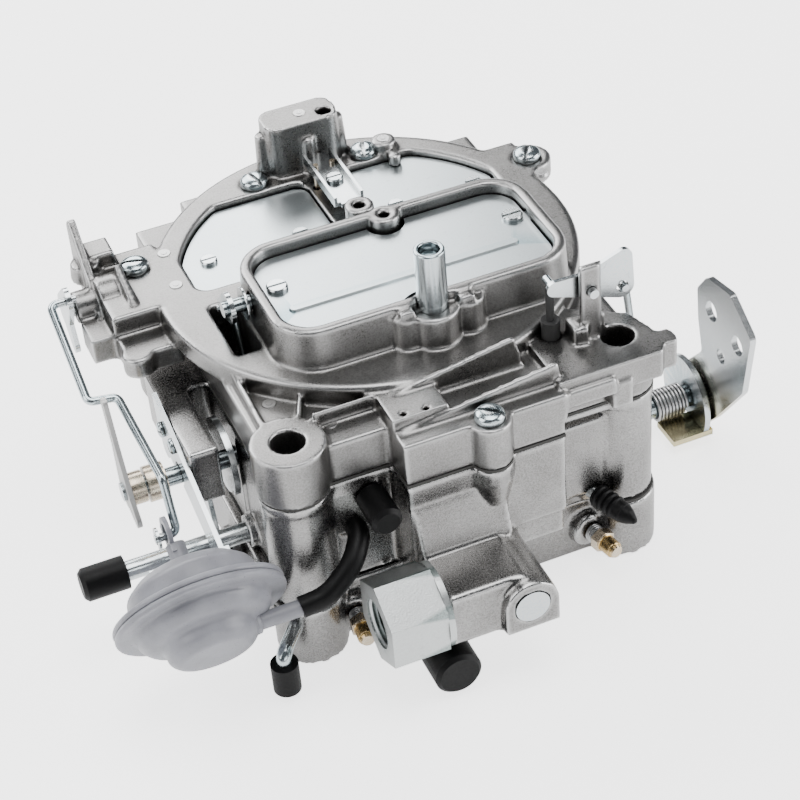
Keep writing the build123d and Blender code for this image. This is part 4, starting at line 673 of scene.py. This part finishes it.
# The pump spring and the power-piston spring belong to pieces that slide, so they keep their CAD form
for node in ("pump_spring", "power_piston_spring"):
    finish_node(node, spring_steel, 0.15)
return_coil = coil("throttle_return_coil", (87, -32, 11), (98, -32, 11), 5.0, 1.2, 8.5)
return_spring = show(return_coil, spring_steel, "primary_throttle")
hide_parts("throttle_return_spring")

# ---------------------------------------------------------------- studio
# A pale floor under the object, lit by five soft boxes: behind, left, right, above and a weak one
# in front.
FLOOR_HALF, FLOOR_DROP = 6.0, 0.0005
FLOOR_GLOW, FLOOR_GLOW_SEEN = 0.8, 2.4
floor_mesh = bpy.data.meshes.new("floor")
bm = bmesh.new()
bmesh.ops.create_grid(bm, x_segments=1, y_segments=1, size=FLOOR_HALF)
bm.to_mesh(floor_mesh)
bm.free()
floor = bpy.data.objects.new("floor", floor_mesh)
floor.location.z = -FLOOR_DROP
scene.collection.objects.link(floor)
pale = bpy.data.materials.new("pale_floor")
tree, shader = tree_of(pale)
shader.inputs["Base Color"].default_value = (0.9, 0.9, 0.9, 1)
shader.inputs["Roughness"].default_value = 0.9
shader.inputs["Emission Color"].default_value = (1, 1, 1, 1)
# The camera sees the floor brighter than the metal does, as if it were lit on its own
seen = tree.nodes.new("ShaderNodeLightPath").outputs["Is Camera Ray"]
tree.links.new(spread(tree, seen, 0, 1, FLOOR_GLOW, FLOOR_GLOW_SEEN), shader.inputs["Emission Strength"])
shader.inputs["Specular IOR Level"].default_value = 0.1
floor.data.materials.append(pale)


def soft_box(name, location, target, width, height, power):
    """Rectangular soft box aimed at a point, in metres and watts."""
    lamp = bpy.data.lights.new(name, "AREA")
    lamp.shape = "RECTANGLE"
    lamp.size = width
    lamp.size_y = height
    lamp.energy = power
    lamp_object = bpy.data.objects.new(name, lamp)
    lamp_object.location = location
    aim = Vector(target) - Vector(location)
    lamp_object.rotation_euler = aim.to_track_quat("-Z", "Y").to_euler()
    scene.collection.objects.link(lamp_object)


centre = (0, -0.01, 0.05)
soft_box("back_box", (-0.25, 0.9, 0.75), centre, 1.4, 0.6, 17)
soft_box("left_box", (-1.0, -0.1, 0.7), centre, 0.7, 1.0, 8)
soft_box("right_box", (1.0, -0.45, 0.45), centre, 0.8, 0.9, 12)
soft_box("top_box", (0.1, -0.1, 1.3), centre, 0.8, 0.8, 11)
soft_box("front_box", (0.1, -1.3, 0.35), centre, 1.0, 0.3, 2.5)

world = bpy.data.worlds.new("studio")
scene.world = world
world.use_nodes = True
surround = world.node_tree.nodes["Background"]
surround.inputs["Color"].default_value = (0.80, 0.84, 0.90, 1)
surround.inputs["Strength"].default_value = 0.13

# ---------------------------------------------------------------- camera
# It stands in front and to the left of the object, looking down on it through a long lens and
# tilted a little to one side.
AZIMUTH, ELEVATION, ROLL = math.radians(-19.528), math.radians(39.582), math.radians(-5.163)
CAMERA_PLACE = (-0.18512, -0.54258, 0.49721)
FOCAL_LENGTH = 98.59
back = Vector((math.sin(AZIMUTH) * math.cos(ELEVATION), -math.cos(AZIMUTH) * math.cos(ELEVATION),
               math.sin(ELEVATION)))
level_right = Vector((math.cos(AZIMUTH), math.sin(AZIMUTH), 0))
level_up = back.cross(level_right)
right = math.cos(ROLL) * level_right + math.sin(ROLL) * level_up
up = math.cos(ROLL) * level_up - math.sin(ROLL) * level_right
camera_data = bpy.data.cameras.new("camera")
camera_data.lens = FOCAL_LENGTH
camera_data.sensor_width = 36
camera_data.clip_start = 0.01
camera = bpy.data.objects.new("camera", camera_data)
camera.matrix_world = Matrix.Translation(CAMERA_PLACE) @ Matrix((right, up, back)).transposed().to_4x4()
scene.collection.objects.link(camera)
scene.camera = camera
